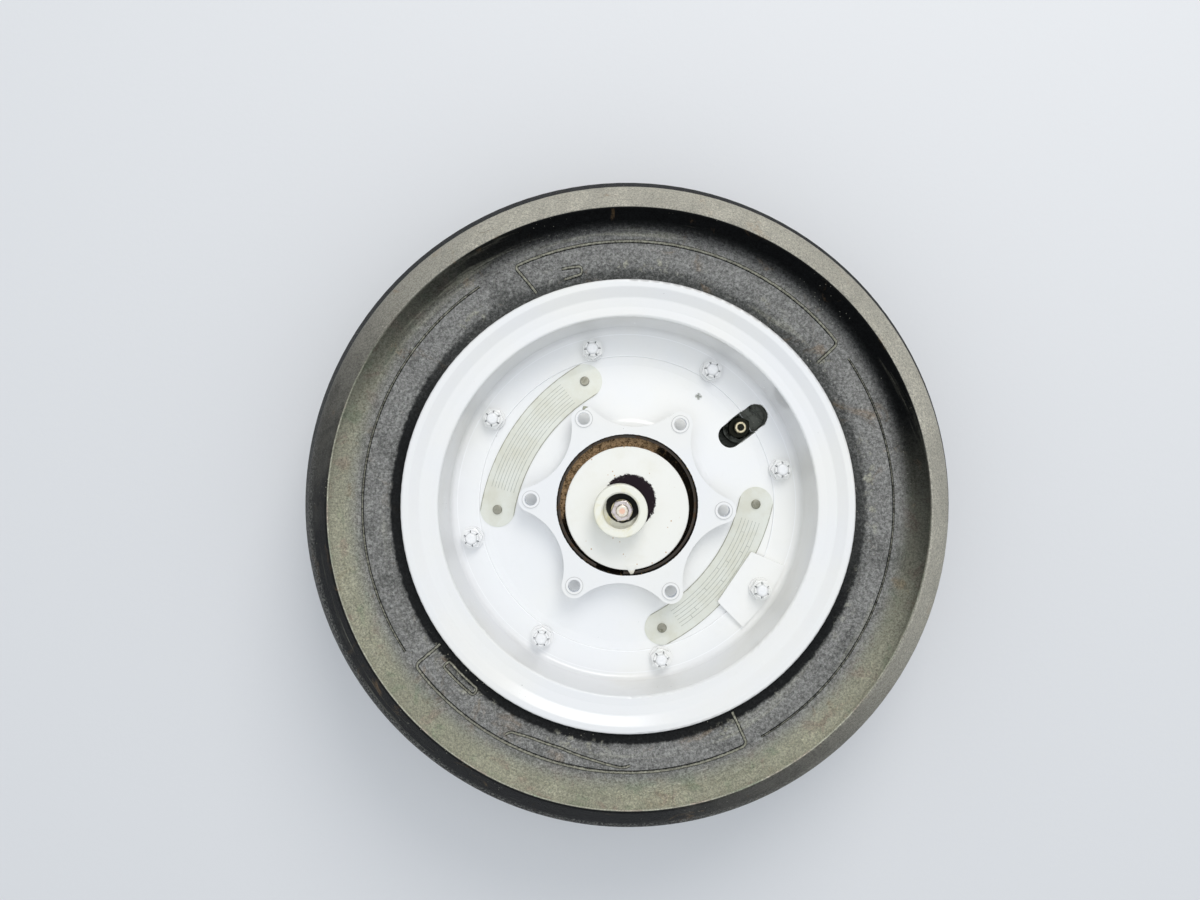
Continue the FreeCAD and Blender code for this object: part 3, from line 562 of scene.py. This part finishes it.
        # the crest is rubbed pale with a painted highlight, and the foot is painted near black as shade
        paleCrestShadedFoot = rise(tree, scaled(tree, grain, 0.3, crest), *look["crest"])
        colour = blend(tree, paleCrestShadedFoot, look["shadeAndSoot"], blend(tree, patches, look["crestWearAndHighlight"], look["crestDark"]))

    # fine sandy grain over all of it
    sandy = rise(tree, noise(tree, place, 900.0, 3.0, 0.8), 0.36, 0.64)
    shade = scaled(tree, sandy, 0.55, scaled(tree, grain, 0.45, 0.5))
    finishMaterial(tree, shader, timesEach(tree, colour, shade), roughness, bump(tree, height, 0.0005))
    return material


# Mould lines are rubbed pale along their crests, with a painted highlight on them, and their feet are painted
# dark as shade
crestLook = {"crest": (0.45, 1.15), "crestWearAndHighlight": (0.50, 0.49, 0.38), "crestDark": (0.26, 0.26, 0.23)}
tyreRubber = rubberMaterial("tyre rubber", tyreLook)
ridgeRubber = rubberMaterial("mould line rubber", {**tyreLook, **crestLook})
dress(tyreRubber, "tyre")
print("rubber done")


# Plain metals: base colour with stains, fine scratches and an uneven shine
def metalMaterial(name, look):
    material, tree, shader = newMaterial(name, metallic=1.0)
    place = objectPlace(tree)
    stain = rise(tree, noise(tree, place, 180.0, 5.0, 0.65, 0.5), 0.45, 0.72)
    colour = blend(tree, times(tree, stain, look.get("stainShare", 0.6)), look["colour"], look["stain"])
    scratch = noise(tree, timesEach(tree, place, (1.0, 1.0, 9.0)), 700.0, 3.0, 0.6)
    roughness = scaled(tree, scratch, 0.25, look["roughness"])
    roughness = scaled(tree, stain, 0.2, roughness)
    finishMaterial(tree, shader, colour, roughness, bump(tree, scratch, look.get("grain", 0.00003)))
    return material


metalLooks = {
    "cadmium washer": {"colour": (0.86, 0.80, 0.54), "stain": (0.45, 0.36, 0.16), "roughness": 0.4},
    "cadmium nut": {"colour": (0.66, 0.62, 0.63), "stain": (0.20, 0.15, 0.09), "roughness": 0.16,
                    "stainShare": 0.75, "grain": 0.00012},
    "bearing steel": {"colour": (0.60, 0.60, 0.60), "stain": (0.30, 0.24, 0.16), "roughness": 0.12,
                      "stainShare": 0.3},
    "cage steel": {"colour": (0.42, 0.42, 0.41), "stain": (0.20, 0.16, 0.10), "roughness": 0.3},
    "ring steel": {"colour": (0.10, 0.09, 0.08), "stain": (0.16, 0.08, 0.03), "roughness": 0.4},
    "rivet metal": {"colour": (0.34, 0.34, 0.29), "stain": (0.12, 0.12, 0.07), "roughness": 0.35},
}
metals = {name: metalMaterial(name, look) for name, look in metalLooks.items()}
dress(metals["cadmium washer"], "hub_washer", "plain_washer")
dress(metals["cadmium nut"], "hub_nut")
dress(metals["bearing steel"], "upper_bearing_cup", "lower_bearing_cup", "upper_bearing_cone",
      "lower_bearing_cone", "upper_bearing_rollers", "lower_bearing_rollers")
dress(metals["cage steel"], "upper_bearing_cage", "lower_bearing_cage")
dress(metals["ring steel"], "upper_retaining_ring", "lower_retaining_ring")
dress(metals["rivet metal"], "nameplate_rivets")
print("metals done")


# Tie bolts: steel, with paint on the ends that stand above the split
tieBoltLook = {
    "steel": (0.50, 0.49, 0.46),
    "stain": (0.20, 0.17, 0.13),
    "paint": (0.84, 0.85, 0.87),
    "paint2": (0.88, 0.88, 0.88),
    "split": (0.0, 1.0),
}


def tieBoltMaterial(name, look):
    material, tree, shader = newMaterial(name)
    place = objectPlace(tree)
    _, _, level = polar(tree, place)
    painted = riseOver(tree, level, look["split"])
    stain = rise(tree, noise(tree, place, 180.0, 5.0, 0.65, 0.5), 0.45, 0.72)
    steel = blend(tree, times(tree, stain, 0.6), look["steel"], look["stain"])
    peel = noise(tree, place, 420.0, 3.0, 0.5)
    colour = blend(tree, painted, steel, blend(tree, peel, look["paint"], look["paint2"]))
    feed(tree, shader.inputs["Metallic"], minus(tree, 1.0, painted))
    finishMaterial(tree, shader, colour, scaled(tree, peel, 0.15, 0.2), bump(tree, peel, 0.00005))
    return material


# The clamp bolt: bright steel with copper grease left on the middle of its end
clampLook = {
    "centre": (-3.7, -3.2),
    "steel": (0.82, 0.78, 0.70),
    "worn": (0.42, 0.36, 0.26),
    "grease": (0.86, 0.50, 0.38),
    "grease2": (0.80, 0.62, 0.50),
    "greaseReach": (2.7, 2.3),
    "endLevel": (45.0, 45.5),
}


def clampMaterial(name, look):
    material, tree, shader = newMaterial(name, metallic=1.0)
    place = objectPlace(tree)
    radius, _, level = polar(tree, localPlace(tree, place, look["centre"]))
    grain = noise(tree, place, 900.0, 4.0, 0.7)
    colour = blend(tree, rise(tree, grain, 0.45, 0.75), look["steel"], look["worn"])
    edge = scaled(tree, grain, 0.0012, radius)
    greasy = times(tree, riseOver(tree, edge, look["greaseReach"]), riseOver(tree, level, look["endLevel"]))
    colour = blend(tree, greasy, colour, blend(tree, grain, look["grease"], look["grease2"]))
    finishMaterial(tree, shader, colour, scaled(tree, grain, 0.25, 0.25), bump(tree, grain, 0.00004))
    return material


# The valve: pale worn brass, nearly black below the mouth of the stem, and painted black as shade down in its
# bore
valveLook = {
    "centre": onCircle(94.6, 33.6),
    "brass": (0.74, 0.68, 0.50),
    "worn": (0.36, 0.32, 0.21),
    "oil": (0.022, 0.023, 0.018),
    "darkBelowLevel": (9.5, 7.5),
    "bore": (2.50, 2.42),
}


def valveMaterial(name, look):
    material, tree, shader = newMaterial(name, metallic=1.0)
    place = objectPlace(tree)
    radius, _, level = polar(tree, localPlace(tree, place, look["centre"]))
    grain = noise(tree, place, 700.0, 5.0, 0.7)
    ragged = scaled(tree, grain, 0.002, -0.001)
    colour = blend(tree, rise(tree, grain, 0.4, 0.7), look["brass"], look["worn"])
    # nearly black below the mouth of the stem, and painted shade down in its bore
    oily = larger(tree, riseOver(tree, plus(tree, level, ragged), look["darkBelowLevel"]),
                  riseOver(tree, radius, look["bore"]))
    colour = blend(tree, oily, colour, look["oil"])
    finishMaterial(tree, shader, colour, scaled(tree, grain, 0.3, 0.25), bump(tree, grain, 0.00006))
    return material


valveBrass = valveMaterial("valve brass", valveLook)
clampSteel = clampMaterial("clamp bolt steel", clampLook)
dress(valveBrass, "valve_stem", "valve_core", "valve_pin")
dress(clampSteel, "hub_bolt")
dress(tieBoltMaterial("tie bolt steel", tieBoltLook), "tie_bolts")


# Felt seals: brown fibres towards one side; round the rest near black, partly oil and partly painted shade in
# the narrow gap
feltLook = {
    "brownFelt": (0.33, 0.22, 0.12),
    "oily": (0.004, 0.003, 0.002),
    "fleck": (0.30, 0.19, 0.09),
    "soil": (0.045, 0.028, 0.014),
    "brownFeltTurn": 122.0,
}


def feltMaterial(name, look):
    material, tree, shader = newMaterial(name, specular=0.08)
    place = objectPlace(tree)
    fibres = noise(tree, place, 800.0, 5.0, 0.75, 1.5)
    soil = rise(tree, noise(tree, place, 520.0, 6.0, 0.8, 0.6), 0.44, 0.60)
    _, angle, _ = polar(tree, place)
    # the felt shows brown towards one side and is painted near black, as shade with some oil, round the rest
    brownFelt = calc(tree, "COSINE", minus(tree, angle, math.radians(look["brownFeltTurn"])))
    brownFelt = plus(tree, brownFelt, scaled(tree, noise(tree, place, 90.0, 5.0, 0.7), 1.6, -0.8))
    brownFelt = rise(tree, brownFelt, 0.25, 0.55)
    colour = blend(tree, brownFelt, look["oily"], blend(tree, soil, look["brownFelt"], look["soil"]))
    flecks = times(tree, rise(tree, fibres, 0.60, 0.70), 0.8)
    colour = blend(tree, flecks, colour, look["fleck"])
    finishMaterial(tree, shader, colour, 0.95, bump(tree, fibres, 0.0005))
    return material


dress(feltMaterial("felt", feltLook), "upper_felt_seal", "lower_felt_seal")


def rubberSealMaterial(name):
    material, tree, shader = newMaterial(name, specular=0.4)
    place = objectPlace(tree)
    grain = noise(tree, place, 600.0, 4.0, 0.6)
    colour = blend(tree, rise(tree, grain, 0.4, 0.7), (0.012, 0.012, 0.013), (0.03, 0.03, 0.03))
    finishMaterial(tree, shader, colour, 0.45, bump(tree, grain, 0.00005))
    return material


dress(rubberSealMaterial("seal rubber"), "rim_seal_ring", "valve_gasket")


# Hub discs: cream paint, a rust-stained edge and a bare black patch that the collar used to cover
discLook = {
    "cream": (0.88, 0.88, 0.84),
    "shade": (0.78, 0.76, 0.66),
    "rust": (0.48, 0.26, 0.08),
    "bare": (0.012, 0.006, 0.010),
    "flake": (0.62, 0.60, 0.58),
    "rustFrom": (42.4, 42.8),
    "centre": (0.0, -2.4),
    "patchCentre": (1.4, 2.6),
    "patchRadius": 17.8,
}


def discMaterial(name, look, centre, patch):
    material, tree, shader = newMaterial(name, specular=0.15)
    place = objectPlace(tree)
    radius, _, _ = polar(tree, localPlace(tree, place, centre))
    cloud = rise(tree, noise(tree, place, 45.0, 5.0, 0.65), 0.45, 0.8)
    colour = blend(tree, times(tree, cloud, 0.4), look["cream"], look["shade"])
    ragged = noise(tree, place, 260.0, 5.0, 0.7)
    rim = scaled(tree, ragged, 0.0022, radius)
    rust = times(tree, riseOver(tree, rim, look["rustFrom"]), 0.7)
    colour = blend(tree, rust, colour, look["rust"])
    dots = times(tree, specks(tree, place, 300.0, 0.16),
                 rise(tree, noise(tree, place, 60.0, 2.0), 0.56, 0.62))
    colour = blend(tree, dots, colour, look["rust"])
    roughness = scaled(tree, ragged, 0.2, 0.3)
    height = ragged
    if patch:
        around, _, _ = polar(tree, localPlace(tree, place, look["patchCentre"]))
        torn = noise(tree, place, 620.0, 6.0, 0.8)
        shifted = plus(tree, around, scaled(tree, torn, 0.007, -0.0035))
        reach = look["patchRadius"]
        bare = riseOver(tree, shifted, (reach + 0.1, reach - 0.1))
        flakes = times(tree, rise(tree, noise(tree, place, 900.0, 3.0, 0.7), 0.64, 0.70),
                       riseOver(tree, shifted, (reach - 3.0, reach)))
        colour = blend(tree, bare, colour, blend(tree, flakes, look["bare"], look["flake"]))
        roughness = scaled(tree, bare, 0.25, roughness)
        height = scaled(tree, bare, -3.0, height)
    finishMaterial(tree, shader, colour, roughness, bump(tree, height, 0.00006))
    return material


dress(discMaterial("upper disc paint", discLook, discLook["centre"], True), "upper_hub_disc")
dress(discMaterial("lower disc paint", discLook, (0.0, 0.0), False), "lower_hub_disc")

collarLook = {
    "cream": (0.87, 0.87, 0.78),
    "yellow": (0.78, 0.74, 0.47),
    "dark": (0.014, 0.014, 0.011),
    "centre": (-4.7, -3.2),
    "bore": (12.4, 12.1),
    "boreTop": (48.5, 47.5),
    "yellowed": (16.0, 12.0),
    "oilAndShadeCentre": (-3.1, -0.6),
    "oilAndShadeReach": (12.2, 11.7),
}


def collarMaterial(name, look):
    material, tree, shader = newMaterial(name, specular=0.45)
    place = objectPlace(tree)
    radius, _, level = polar(tree, localPlace(tree, place, look["centre"]))
    patches = rise(tree, noise(tree, place, 75.0, 4.0, 0.6, 0.5), 0.5, 0.68)
    ragged = noise(tree, place, 320.0, 5.0, 0.7)
    near = riseOver(tree, radius, look["yellowed"])
    yellowed = times(tree, patches, scaled(tree, near, 0.4, 0.4))
    colour = blend(tree, yellowed, look["cream"], look["yellow"])
    # inside its bore the collar is near black, partly old oil and partly painted shade, save a pale crescent
    # of wall on one side
    oilAndShadeRadius, _, _ = polar(tree, localPlace(tree, place, look["oilAndShadeCentre"]))
    oilAndShadeRadius = scaled(tree, ragged, 0.0016, oilAndShadeRadius)
    inside = times(tree, riseOver(tree, radius, look["bore"]), riseOver(tree, oilAndShadeRadius, look["oilAndShadeReach"]))
    inside = times(tree, inside, riseOver(tree, level, look["boreTop"]))
    colour = blend(tree, inside, colour, look["dark"])
    roughness = scaled(tree, inside, 0.4, scaled(tree, ragged, 0.2, 0.25))
    finishMaterial(tree, shader, colour, roughness, bump(tree, ragged, 0.00008))
    return material


dress(collarMaterial("collar paint", collarLook), "hub_collar")
print("hub finishes done")


# Nameplates: etched aluminium in grey green, sealant along the edge, and ruled fields left empty
plateLook = {
    "face": (0.73, 0.75, 0.70),
    "face2": (0.64, 0.64, 0.55),
    "edge": (0.22, 0.22, 0.16),
    "rule": (0.24, 0.26, 0.23),
    "bendRadius": 130.0,
    "bendCentre": 47.87,                # from the wheel's axis, on the far side
    "margin": (11.15, 11.6),
    "ruleHalf": (0.24, 0.12),
    "stopHalf": (0.0019, 0.0011),       # in radians about the bend's centre
}


def plateMaterial(name, look, degrees, rules, ruleReach, stops):
    material, tree, shader = newMaterial(name, metallic=0.25, specular=0.5)
    place = objectPlace(tree)
    spot = onCircle(-look["bendCentre"], degrees)
    radius, angle, _ = polar(tree, localPlace(tree, place, spot, degrees))
    across = minus(tree, radius, look["bendRadius"] * mm)
    cloud = rise(tree, noise(tree, place, 40.0, 5.0, 0.65), 0.35, 0.75)
    colour = blend(tree, cloud, look["face"], look["face2"])
    rub = noise(tree, place, 500.0, 4.0, 0.7)

    # thin rules that follow the bend, broken off at both ends, and short stops between them
    inside = rise(tree, unsigned(tree, angle), ruleReach + 0.004, ruleReach)
    lines = 0.0
    for offset in rules:
        line = riseOver(tree, unsigned(tree, minus(tree, across, offset * mm)), look["ruleHalf"])
        lines = larger(tree, lines, line)
    for turn, low, high in stops:
        bar = rise(tree, unsigned(tree, minus(tree, angle, turn)), *look["stopHalf"])
        bar = times(tree, bar, band(tree, across, (low, high, 0.1)))
        lines = larger(tree, lines, bar)
    printed = times(tree, times(tree, lines, inside), rise(tree, rub, 0.25, 0.5))
    colour = blend(tree, times(tree, printed, 0.65), colour, look["rule"])
    wobble = scaled(tree, noise(tree, place, 160.0, 4.0, 0.6), 0.0009, -0.00045)
    margin = plus(tree, unsigned(tree, across), wobble)
    rim = riseOver(tree, margin, look["margin"])
    colour = blend(tree, times(tree, rim, 0.8), colour, look["edge"])
    roughness = scaled(tree, rub, 0.3, 0.3)
    height = scaled(tree, printed, -1.5, rub)
    finishMaterial(tree, shader, colour, roughness, bump(tree, height, 0.00003))
    return material


# rules lie this far out from the middle of the bend; a stop is (angle in radians, from rule, to rule)
upperRules = [7.6 - 2.25 * k for k in range(8)]
lowerRules = [6.0, 3.4, 0.9, -1.7, -4.2, -6.8]
lowerStops = [(-0.22, 0.9, 3.4), (-0.02, 0.9, 3.4), (0.16, 0.9, 3.4), (-0.11, -4.2, -1.7), (0.08, -4.2, -1.7),
              (0.26, -4.2, -1.7), (-0.26, 3.4, 6.0), (0.20, 3.4, 6.0), (0.02, -6.8, -4.2)]
dress(plateMaterial("upper plate metal", plateLook, 145.8, upperRules, 0.31, []), "upper_nameplate")
dress(plateMaterial("lower plate metal", plateLook, -37.2, lowerRules, 0.33, lowerStops), "lower_nameplate")
print("plates done")


def addObject(name, data):
    item = bpy.data.objects.new(name, data)
    bpy.context.collection.objects.link(item)
    return item


# Closed surface of rings: points[i, j] is point j of ring i. Quads join neighbouring rings, and each end
# gets a face of its own unless the last ring joins the first.
def ringSurface(points, joinEnds=False):
    rings, around = points.shape[:2]
    index = np.arange(rings * around).reshape(rings, around)
    lower = index if joinEnds else index[:-1]
    upper = np.roll(index, -1, axis=0) if joinEnds else index[1:]
    quads = np.stack([lower, np.roll(lower, -1, axis=1), np.roll(upper, -1, axis=1), upper], axis=-1)
    faces = quads.reshape(-1, 4).tolist()
    if not joinEnds:
        faces += [index[0, ::-1].tolist(), index[-1].tolist()]
    return points.reshape(-1, 3), faces


def makePiece(name, shapes, body, material):
    corners, faces, start = [], [], 0
    for spots, loops in shapes:
        corners.append(spots)
        faces += [[k + start for k in loop] for loop in loops]
        start += len(spots)
    mesh = bpy.data.meshes.new(name)
    mesh.from_pydata(np.concatenate(corners).tolist(), [], faces)
    work = bmesh.new()
    work.from_mesh(mesh)
    bmesh.ops.recalc_face_normals(work, faces=work.faces)
    work.to_mesh(mesh)
    work.free()
    mesh.shade_smooth()
    mesh.materials.append(material)
    piece = addObject(name, mesh)
    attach(piece, body)
    return piece


# Height of the tyre's upper wall at a radius, read from the CAD tyre by looking down on it
bpy.context.view_layer.update()
wallRadii = np.linspace(0.1482, 0.1935, 90)
above = 0.12
slant = 0.013                           # keeps the rays off the seam of the tyre's mesh
wallHeights = np.array([nodes["tyre"].ray_cast(Vector((r, r * slant, above)), Vector((0, 0, -1)))[1].z
                        for r in wallRadii])


def wallHeight(radius):
    return np.interp(radius, wallRadii, wallHeights)


# Mould lines on the tyre's walls: outlines of the two bare fields, the parting line between them, and two
# mould inserts. Each path is a list of (radius in mm, degrees) and a size; corners are rounded.
ridgeLook = {
    "width": 2.4,
    "height": 1.1,
    "sink": 0.5,
    "corner": 3.5,
    "step": 1.0,
    "meanRadius": 165.0,                # turns degrees into lengths along the wall
    "paths": [
        ([(150.6, 113.2), (170.9, 115.4), (170.9, 38.0), (154.0, 37.3)], 1.0),
        ([(151.0, 216.2), (170.6, 216.6), (170.6, 296.6), (149.6, 296.9)], 1.0),
        ([(170.9, 124.0), (170.9, 213.0)], 0.55),
        ([(170.6, 300.0), (170.6, 394.0)], 0.45),
        ([(166.5, 241.6), (163.2, 242.4), (161.2, 247.0), (161.2, 254.2), (164.4, 262.0), (167.8, 268.6),
          (166.4, 270.4)], 0.7),
        ([(152.6, 105.8), (153.4, 101.2), (158.2, 101.0), (159.2, 105.6)], 0.8),
    ],
    "capsule": [(157.6, 220.8), (157.6, 230.6), (152.9, 230.6), (152.9, 220.8)],
}


# Points along straight runs in (arc length, radius) with each inner corner replaced by a quadratic curve
def roundedPath(corners, look, closed=False):
    flat = np.array([(math.radians(turn) * look["meanRadius"], radius) for radius, turn in corners])
    if closed:
        flat = np.vstack([(flat[0] + flat[-1]) / 2, flat, (flat[0] + flat[-1]) / 2])
    runs = [flat[:1]]
    for k in range(1, len(flat) - 1):
        back, onward = flat[k - 1] - flat[k], flat[k + 1] - flat[k]
        cut = min(look["corner"], 0.45 * np.hypot(*back), 0.45 * np.hypot(*onward))
        start = flat[k] + back / np.hypot(*back) * cut
        end = flat[k] + onward / np.hypot(*onward) * cut
        t = np.linspace(0, 1, 7)[:, None]
        runs.append((1 - t) ** 2 * start + 2 * t * (1 - t) * flat[k] + t ** 2 * end)
    path = np.vstack(runs + [flat[-1:]])
    length = np.concatenate([[0], np.cumsum(np.hypot(*np.diff(path, axis=0).T))])
    steps = np.linspace(0, length[-1], max(8, int(length[-1] / look["step"])))
    path = np.stack([np.interp(steps, length, path[:, 0]), np.interp(steps, length, path[:, 1])], axis=1)
    return np.stack([path[:, 1] * mm, path[:, 0] / look["meanRadius"]], axis=1)


# A ridge on the wall: across the path its height is a cosine hump, and its foot is sunk into the rubber. The
# third thing given back is 1 along the crest and 0 at the foot.
def ridge(path, look, size, side):
    radius, turn = path.T
    spots = np.stack([radius * np.cos(turn), radius * np.sin(turn)], axis=1)
    along = np.gradient(spots, axis=0)
    along /= np.linalg.norm(along, axis=1)[:, None]
    aside = np.stack([-along[:, 1], along[:, 0]], axis=1)
    offset = np.linspace(-0.5, 0.5, 7)
    crest = np.cos(math.pi * offset) * min(1.0, size + 0.2)
    hump = np.cos(math.pi * offset) ** 0.7 * look["height"] * size
    offset = np.concatenate([offset, [0.5, -0.5]]) * look["width"] * math.sqrt(size)
    hump = np.concatenate([hump, [-look["sink"], -look["sink"]]])
    place = spots[:, None, :] + aside[:, None, :] * offset[None, :, None] * mm
    level = wallHeight(np.hypot(place[..., 0], place[..., 1])) + (hump * mm)[None, :]
    ends = np.minimum(np.arange(len(path)), np.arange(len(path))[::-1])
    fade = np.clip(ends / 3.0, 0, 1)[:, None]
    level = np.where(hump[None, :] > 0, level - (1 - fade) * (hump * mm)[None, :] * 0.9, level)
    crest = np.broadcast_to(np.concatenate([crest, [0, 0]]), level.shape)
    return *ringSurface(np.concatenate([place, level[..., None] * side], axis=-1)), crest.reshape(-1)


ridges = []
for side in (1, -1):
    for corners, size in ridgeLook["paths"]:
        ridges.append(ridge(roundedPath(corners, ridgeLook), ridgeLook, size, side))
    ridges.append(ridge(roundedPath(ridgeLook["capsule"], ridgeLook, closed=True), ridgeLook, 0.7, side))
mouldLines = makePiece("wall_mould_lines", [shape[:2] for shape in ridges], "wheel", ridgeRubber)
crests = mouldLines.data.attributes.new("crest", "FLOAT", "POINT")
crests.data.foreach_set("value", np.concatenate([shape[2] for shape in ridges]).astype(np.float32))
print("mould lines done")


# Vent nubs: stubs of rubber left by the mould's air vents, each a short tapered stub with a rounded top
nubLook = {"count": 46, "radius": (0.35, 0.6), "height": (0.5, 1.3), "from": 154.0, "to": 182.0, "seed": 11}


def ventNubs(look):
    draw = np.random.default_rng(look["seed"])
    count = look["count"]
    radius = draw.uniform(look["from"], look["to"], count) * mm
    turn = draw.uniform(0, 2 * math.pi, count)
    size = draw.uniform(*look["radius"], count) * mm
    tall = draw.uniform(*look["height"], count) * mm
    shares = np.array([(-1.0, 1.15), (0.0, 1.0), (0.75, 0.85), (1.0, 0.45)])
    around = np.linspace(0, 2 * math.pi, 8, endpoint=False)
    base = np.stack([radius * np.cos(turn), radius * np.sin(turn), wallHeight(radius)], axis=1)
    x = base[:, None, None, 0] + size[:, None, None] * shares[None, :, None, 1] * np.cos(around)
    y = base[:, None, None, 1] + size[:, None, None] * shares[None, :, None, 1] * np.sin(around)
    z = base[:, None, None, 2] + tall[:, None, None] * shares[None, :, None, 0] + 0 * x
    return [ringSurface(stub) for stub in np.stack([x, y, z], axis=-1)]


makePiece("vent_nubs", ventNubs(nubLook), "wheel", tyreRubber)


# Thread on a shank: the sleeve's radius is root plus depth times a triangle wave of height over pitch less
# the turn, so its crest climbs as a helix. The inside is a plain bore inside the shank.
threadLooks = {
    "valve": {"centre": valveLook["centre"], "root": 3.9, "depth": 0.35, "pitch": 0.8, "low": 5.6,
              "high": 12.4, "inner": 3.7},
    "bolt": {"centre": clampLook["centre"], "root": 4.0, "depth": 0.3, "pitch": 1.06, "low": 44.6,
             "high": 47.0, "inner": 3.8},
}


def threadSleeve(look):
    low, high, pitch = look["low"], look["high"], look["pitch"]
    turns = np.linspace(0, 2 * math.pi, 48, endpoint=False)
    rows = int((high - low) / pitch * 6) + 1
    level = np.linspace(low, high, rows)
    phase = (level[None, :] / pitch - turns[:, None] / (2 * math.pi)) % 1.0
    fade = np.clip(np.minimum(level - low, high - level) / (0.5 * pitch), 0, 1)
    reach = look["root"] + look["depth"] * (1 - np.abs(2 * phase - 1)) * fade[None, :]
    reach = np.concatenate([reach, np.full((len(turns), 2), look["inner"])], axis=1)
    level = np.concatenate([level, [high, low]])
    points = np.stack([look["centre"][0] + reach * np.cos(turns)[:, None],
                       look["centre"][1] + reach * np.sin(turns)[:, None],
                       np.broadcast_to(level, reach.shape)], axis=-1) * mm
    return ringSurface(points, joinEnds=True)


makePiece("valve_thread", [threadSleeve(threadLooks["valve"])], "wheel", valveBrass)
makePiece("hub_bolt_thread", [threadSleeve(threadLooks["bolt"])], "hub_core", clampSteel)
print("threads done")


# A run of paint hanging off the disc's edge: a tongue whose half width falls to a point with a power of what
# is left of its length, and whose middle stands proud
dripLook = {"turn": -86.0, "inner": 38.4, "length": 7.4, "halfWidth": 4.4, "tip": 0.06, "top": 31.1,
            "thick": 1.1}


def paintDrip(look, centre):
    share = np.linspace(0, 1, 16)
    outward = np.array(onCircle(1.0, look["turn"]))
    across = np.array([-outward[1], outward[0]])
    around = np.linspace(0, 2 * math.pi, 12, endpoint=False)
    width = look["halfWidth"] * (1 - share) ** 0.8 * (1 - 0.35 * share) + look["tip"]
    swell = 0.35 + 0.65 * np.sin(math.pi * np.clip(share * 1.1, 0, 1)) ** 0.5
    thick = look["thick"] * swell * np.sqrt(1.02 - share)
    line = np.array(centre) + outward * (look["inner"] + look["length"] * share)[:, None]
    flat = line[:, None, :] + across * (width[:, None] * np.cos(around))[..., None]
    sag = 0.5 * share[:, None] ** 2 * look["thick"]
    level = look["top"] - sag + 0.5 * thick[:, None] * (np.sin(around) - 0.6)
    return ringSurface(np.concatenate([flat, level[..., None]], axis=-1) * mm)


runPaint = discMaterial("paint run", {**discLook, "rust": (0.84, 0.80, 0.66)}, discLook["centre"], False)
makePiece("disc_paint_run", [paintDrip(dripLook, discLook["centre"])], "hub_core", runPaint)
print("small pieces done")


# Stage: a pale floor under the tyre, a soft lamp from the far side, a sky that is brightest overhead and a
# camera that looks straight down. Places and sizes here are in metres.
stageLook = {
    "floorHeight": -0.0761,
    "floorReach": 30.0,
    "floor": (0.74, 0.75, 0.77),
    "floor2": (0.70, 0.71, 0.73),
    "sky": (0.92, 0.96, 1.0),
    "skyLow": 0.32,
    "skyHigh": 1.52,
    "lampPlace": (0.34, 1.16, 1.30),
    "lampSize": 0.9,
    "lampPower": 10.8,
    "lampTint": (1.0, 0.96, 0.91),
    "cameraPlace": (-0.0182, 0.0367, 0.674),
    "lens": 28.77,
}


def makeFloor(look):
    mesh = bpy.data.meshes.new("floor")
    corners = np.array([(-1, -1), (1, -1), (1, 1), (-1, 1)]) * look["floorReach"]
    mesh.from_pydata([(x, y, look["floorHeight"]) for x, y in corners], [], [(0, 1, 2, 3)])
    material, tree, shader = newMaterial("pale floor", specular=0.2)
    place = objectPlace(tree)
    soft = noise(tree, place, 3.0, 3.0)
    colour = blend(tree, times(tree, soft, 0.1), look["floor"], look["floor2"])
    finishMaterial(tree, shader, colour, 0.8, bump(tree, noise(tree, place, 250.0), 0.0001))
    mesh.materials.append(material)
    floor = addObject("floor", mesh)


def makeSky(look):
    world = bpy.data.worlds.new("studio")
    world.use_nodes = True
    tree = world.node_tree
    back = tree.nodes["Background"]
    ray = addNode(tree, "LightPath")
    seen = larger(tree, ray.outputs["Is Camera Ray"],
                  larger(tree, ray.outputs["Is Glossy Ray"], ray.outputs["Is Transmission Ray"]))
    feed(tree, back.inputs["Color"], blend(tree, seen, look["sky"], (1.0, 1.0, 1.0)))
    upward = split(tree, addNode(tree, "TexCoord").outputs["Generated"])[2]
    upward = calc(tree, "POWER", larger(tree, upward, 0.0), 4.0)
    strength = scaled(tree, upward, look["skyHigh"], look["skyLow"])
    feed(tree, back.inputs["Strength"], addNode(tree, "Mix", {0: seen, 2: strength, 3: 1.0}).outputs[0])
    bpy.context.scene.world = world


def makeLamp(look):
    lamp = bpy.data.lights.new("key", "AREA")
    lamp.shape = "DISK"
    lamp.size = look["lampSize"]
    lamp.energy = look["lampPower"]
    lamp.color = look["lampTint"]
    holder = addObject("key", lamp)
    holder.location = look["lampPlace"]
    holder.rotation_euler = Vector(look["lampPlace"]).to_track_quat("Z", "Y").to_euler()


def makeCamera(look):
    camera = bpy.data.cameras.new("camera")
    camera.sensor_width = 36.0
    camera.lens = look["lens"]
    camera.clip_start = 0.01
    holder = addObject("camera", camera)
    holder.location = look["cameraPlace"]
    bpy.context.scene.camera = holder


makeFloor(stageLook)
makeSky(stageLook)
makeLamp(stageLook)
makeCamera(stageLook)
bpy.context.scene.view_settings.view_transform = "Standard"
print("stage done")
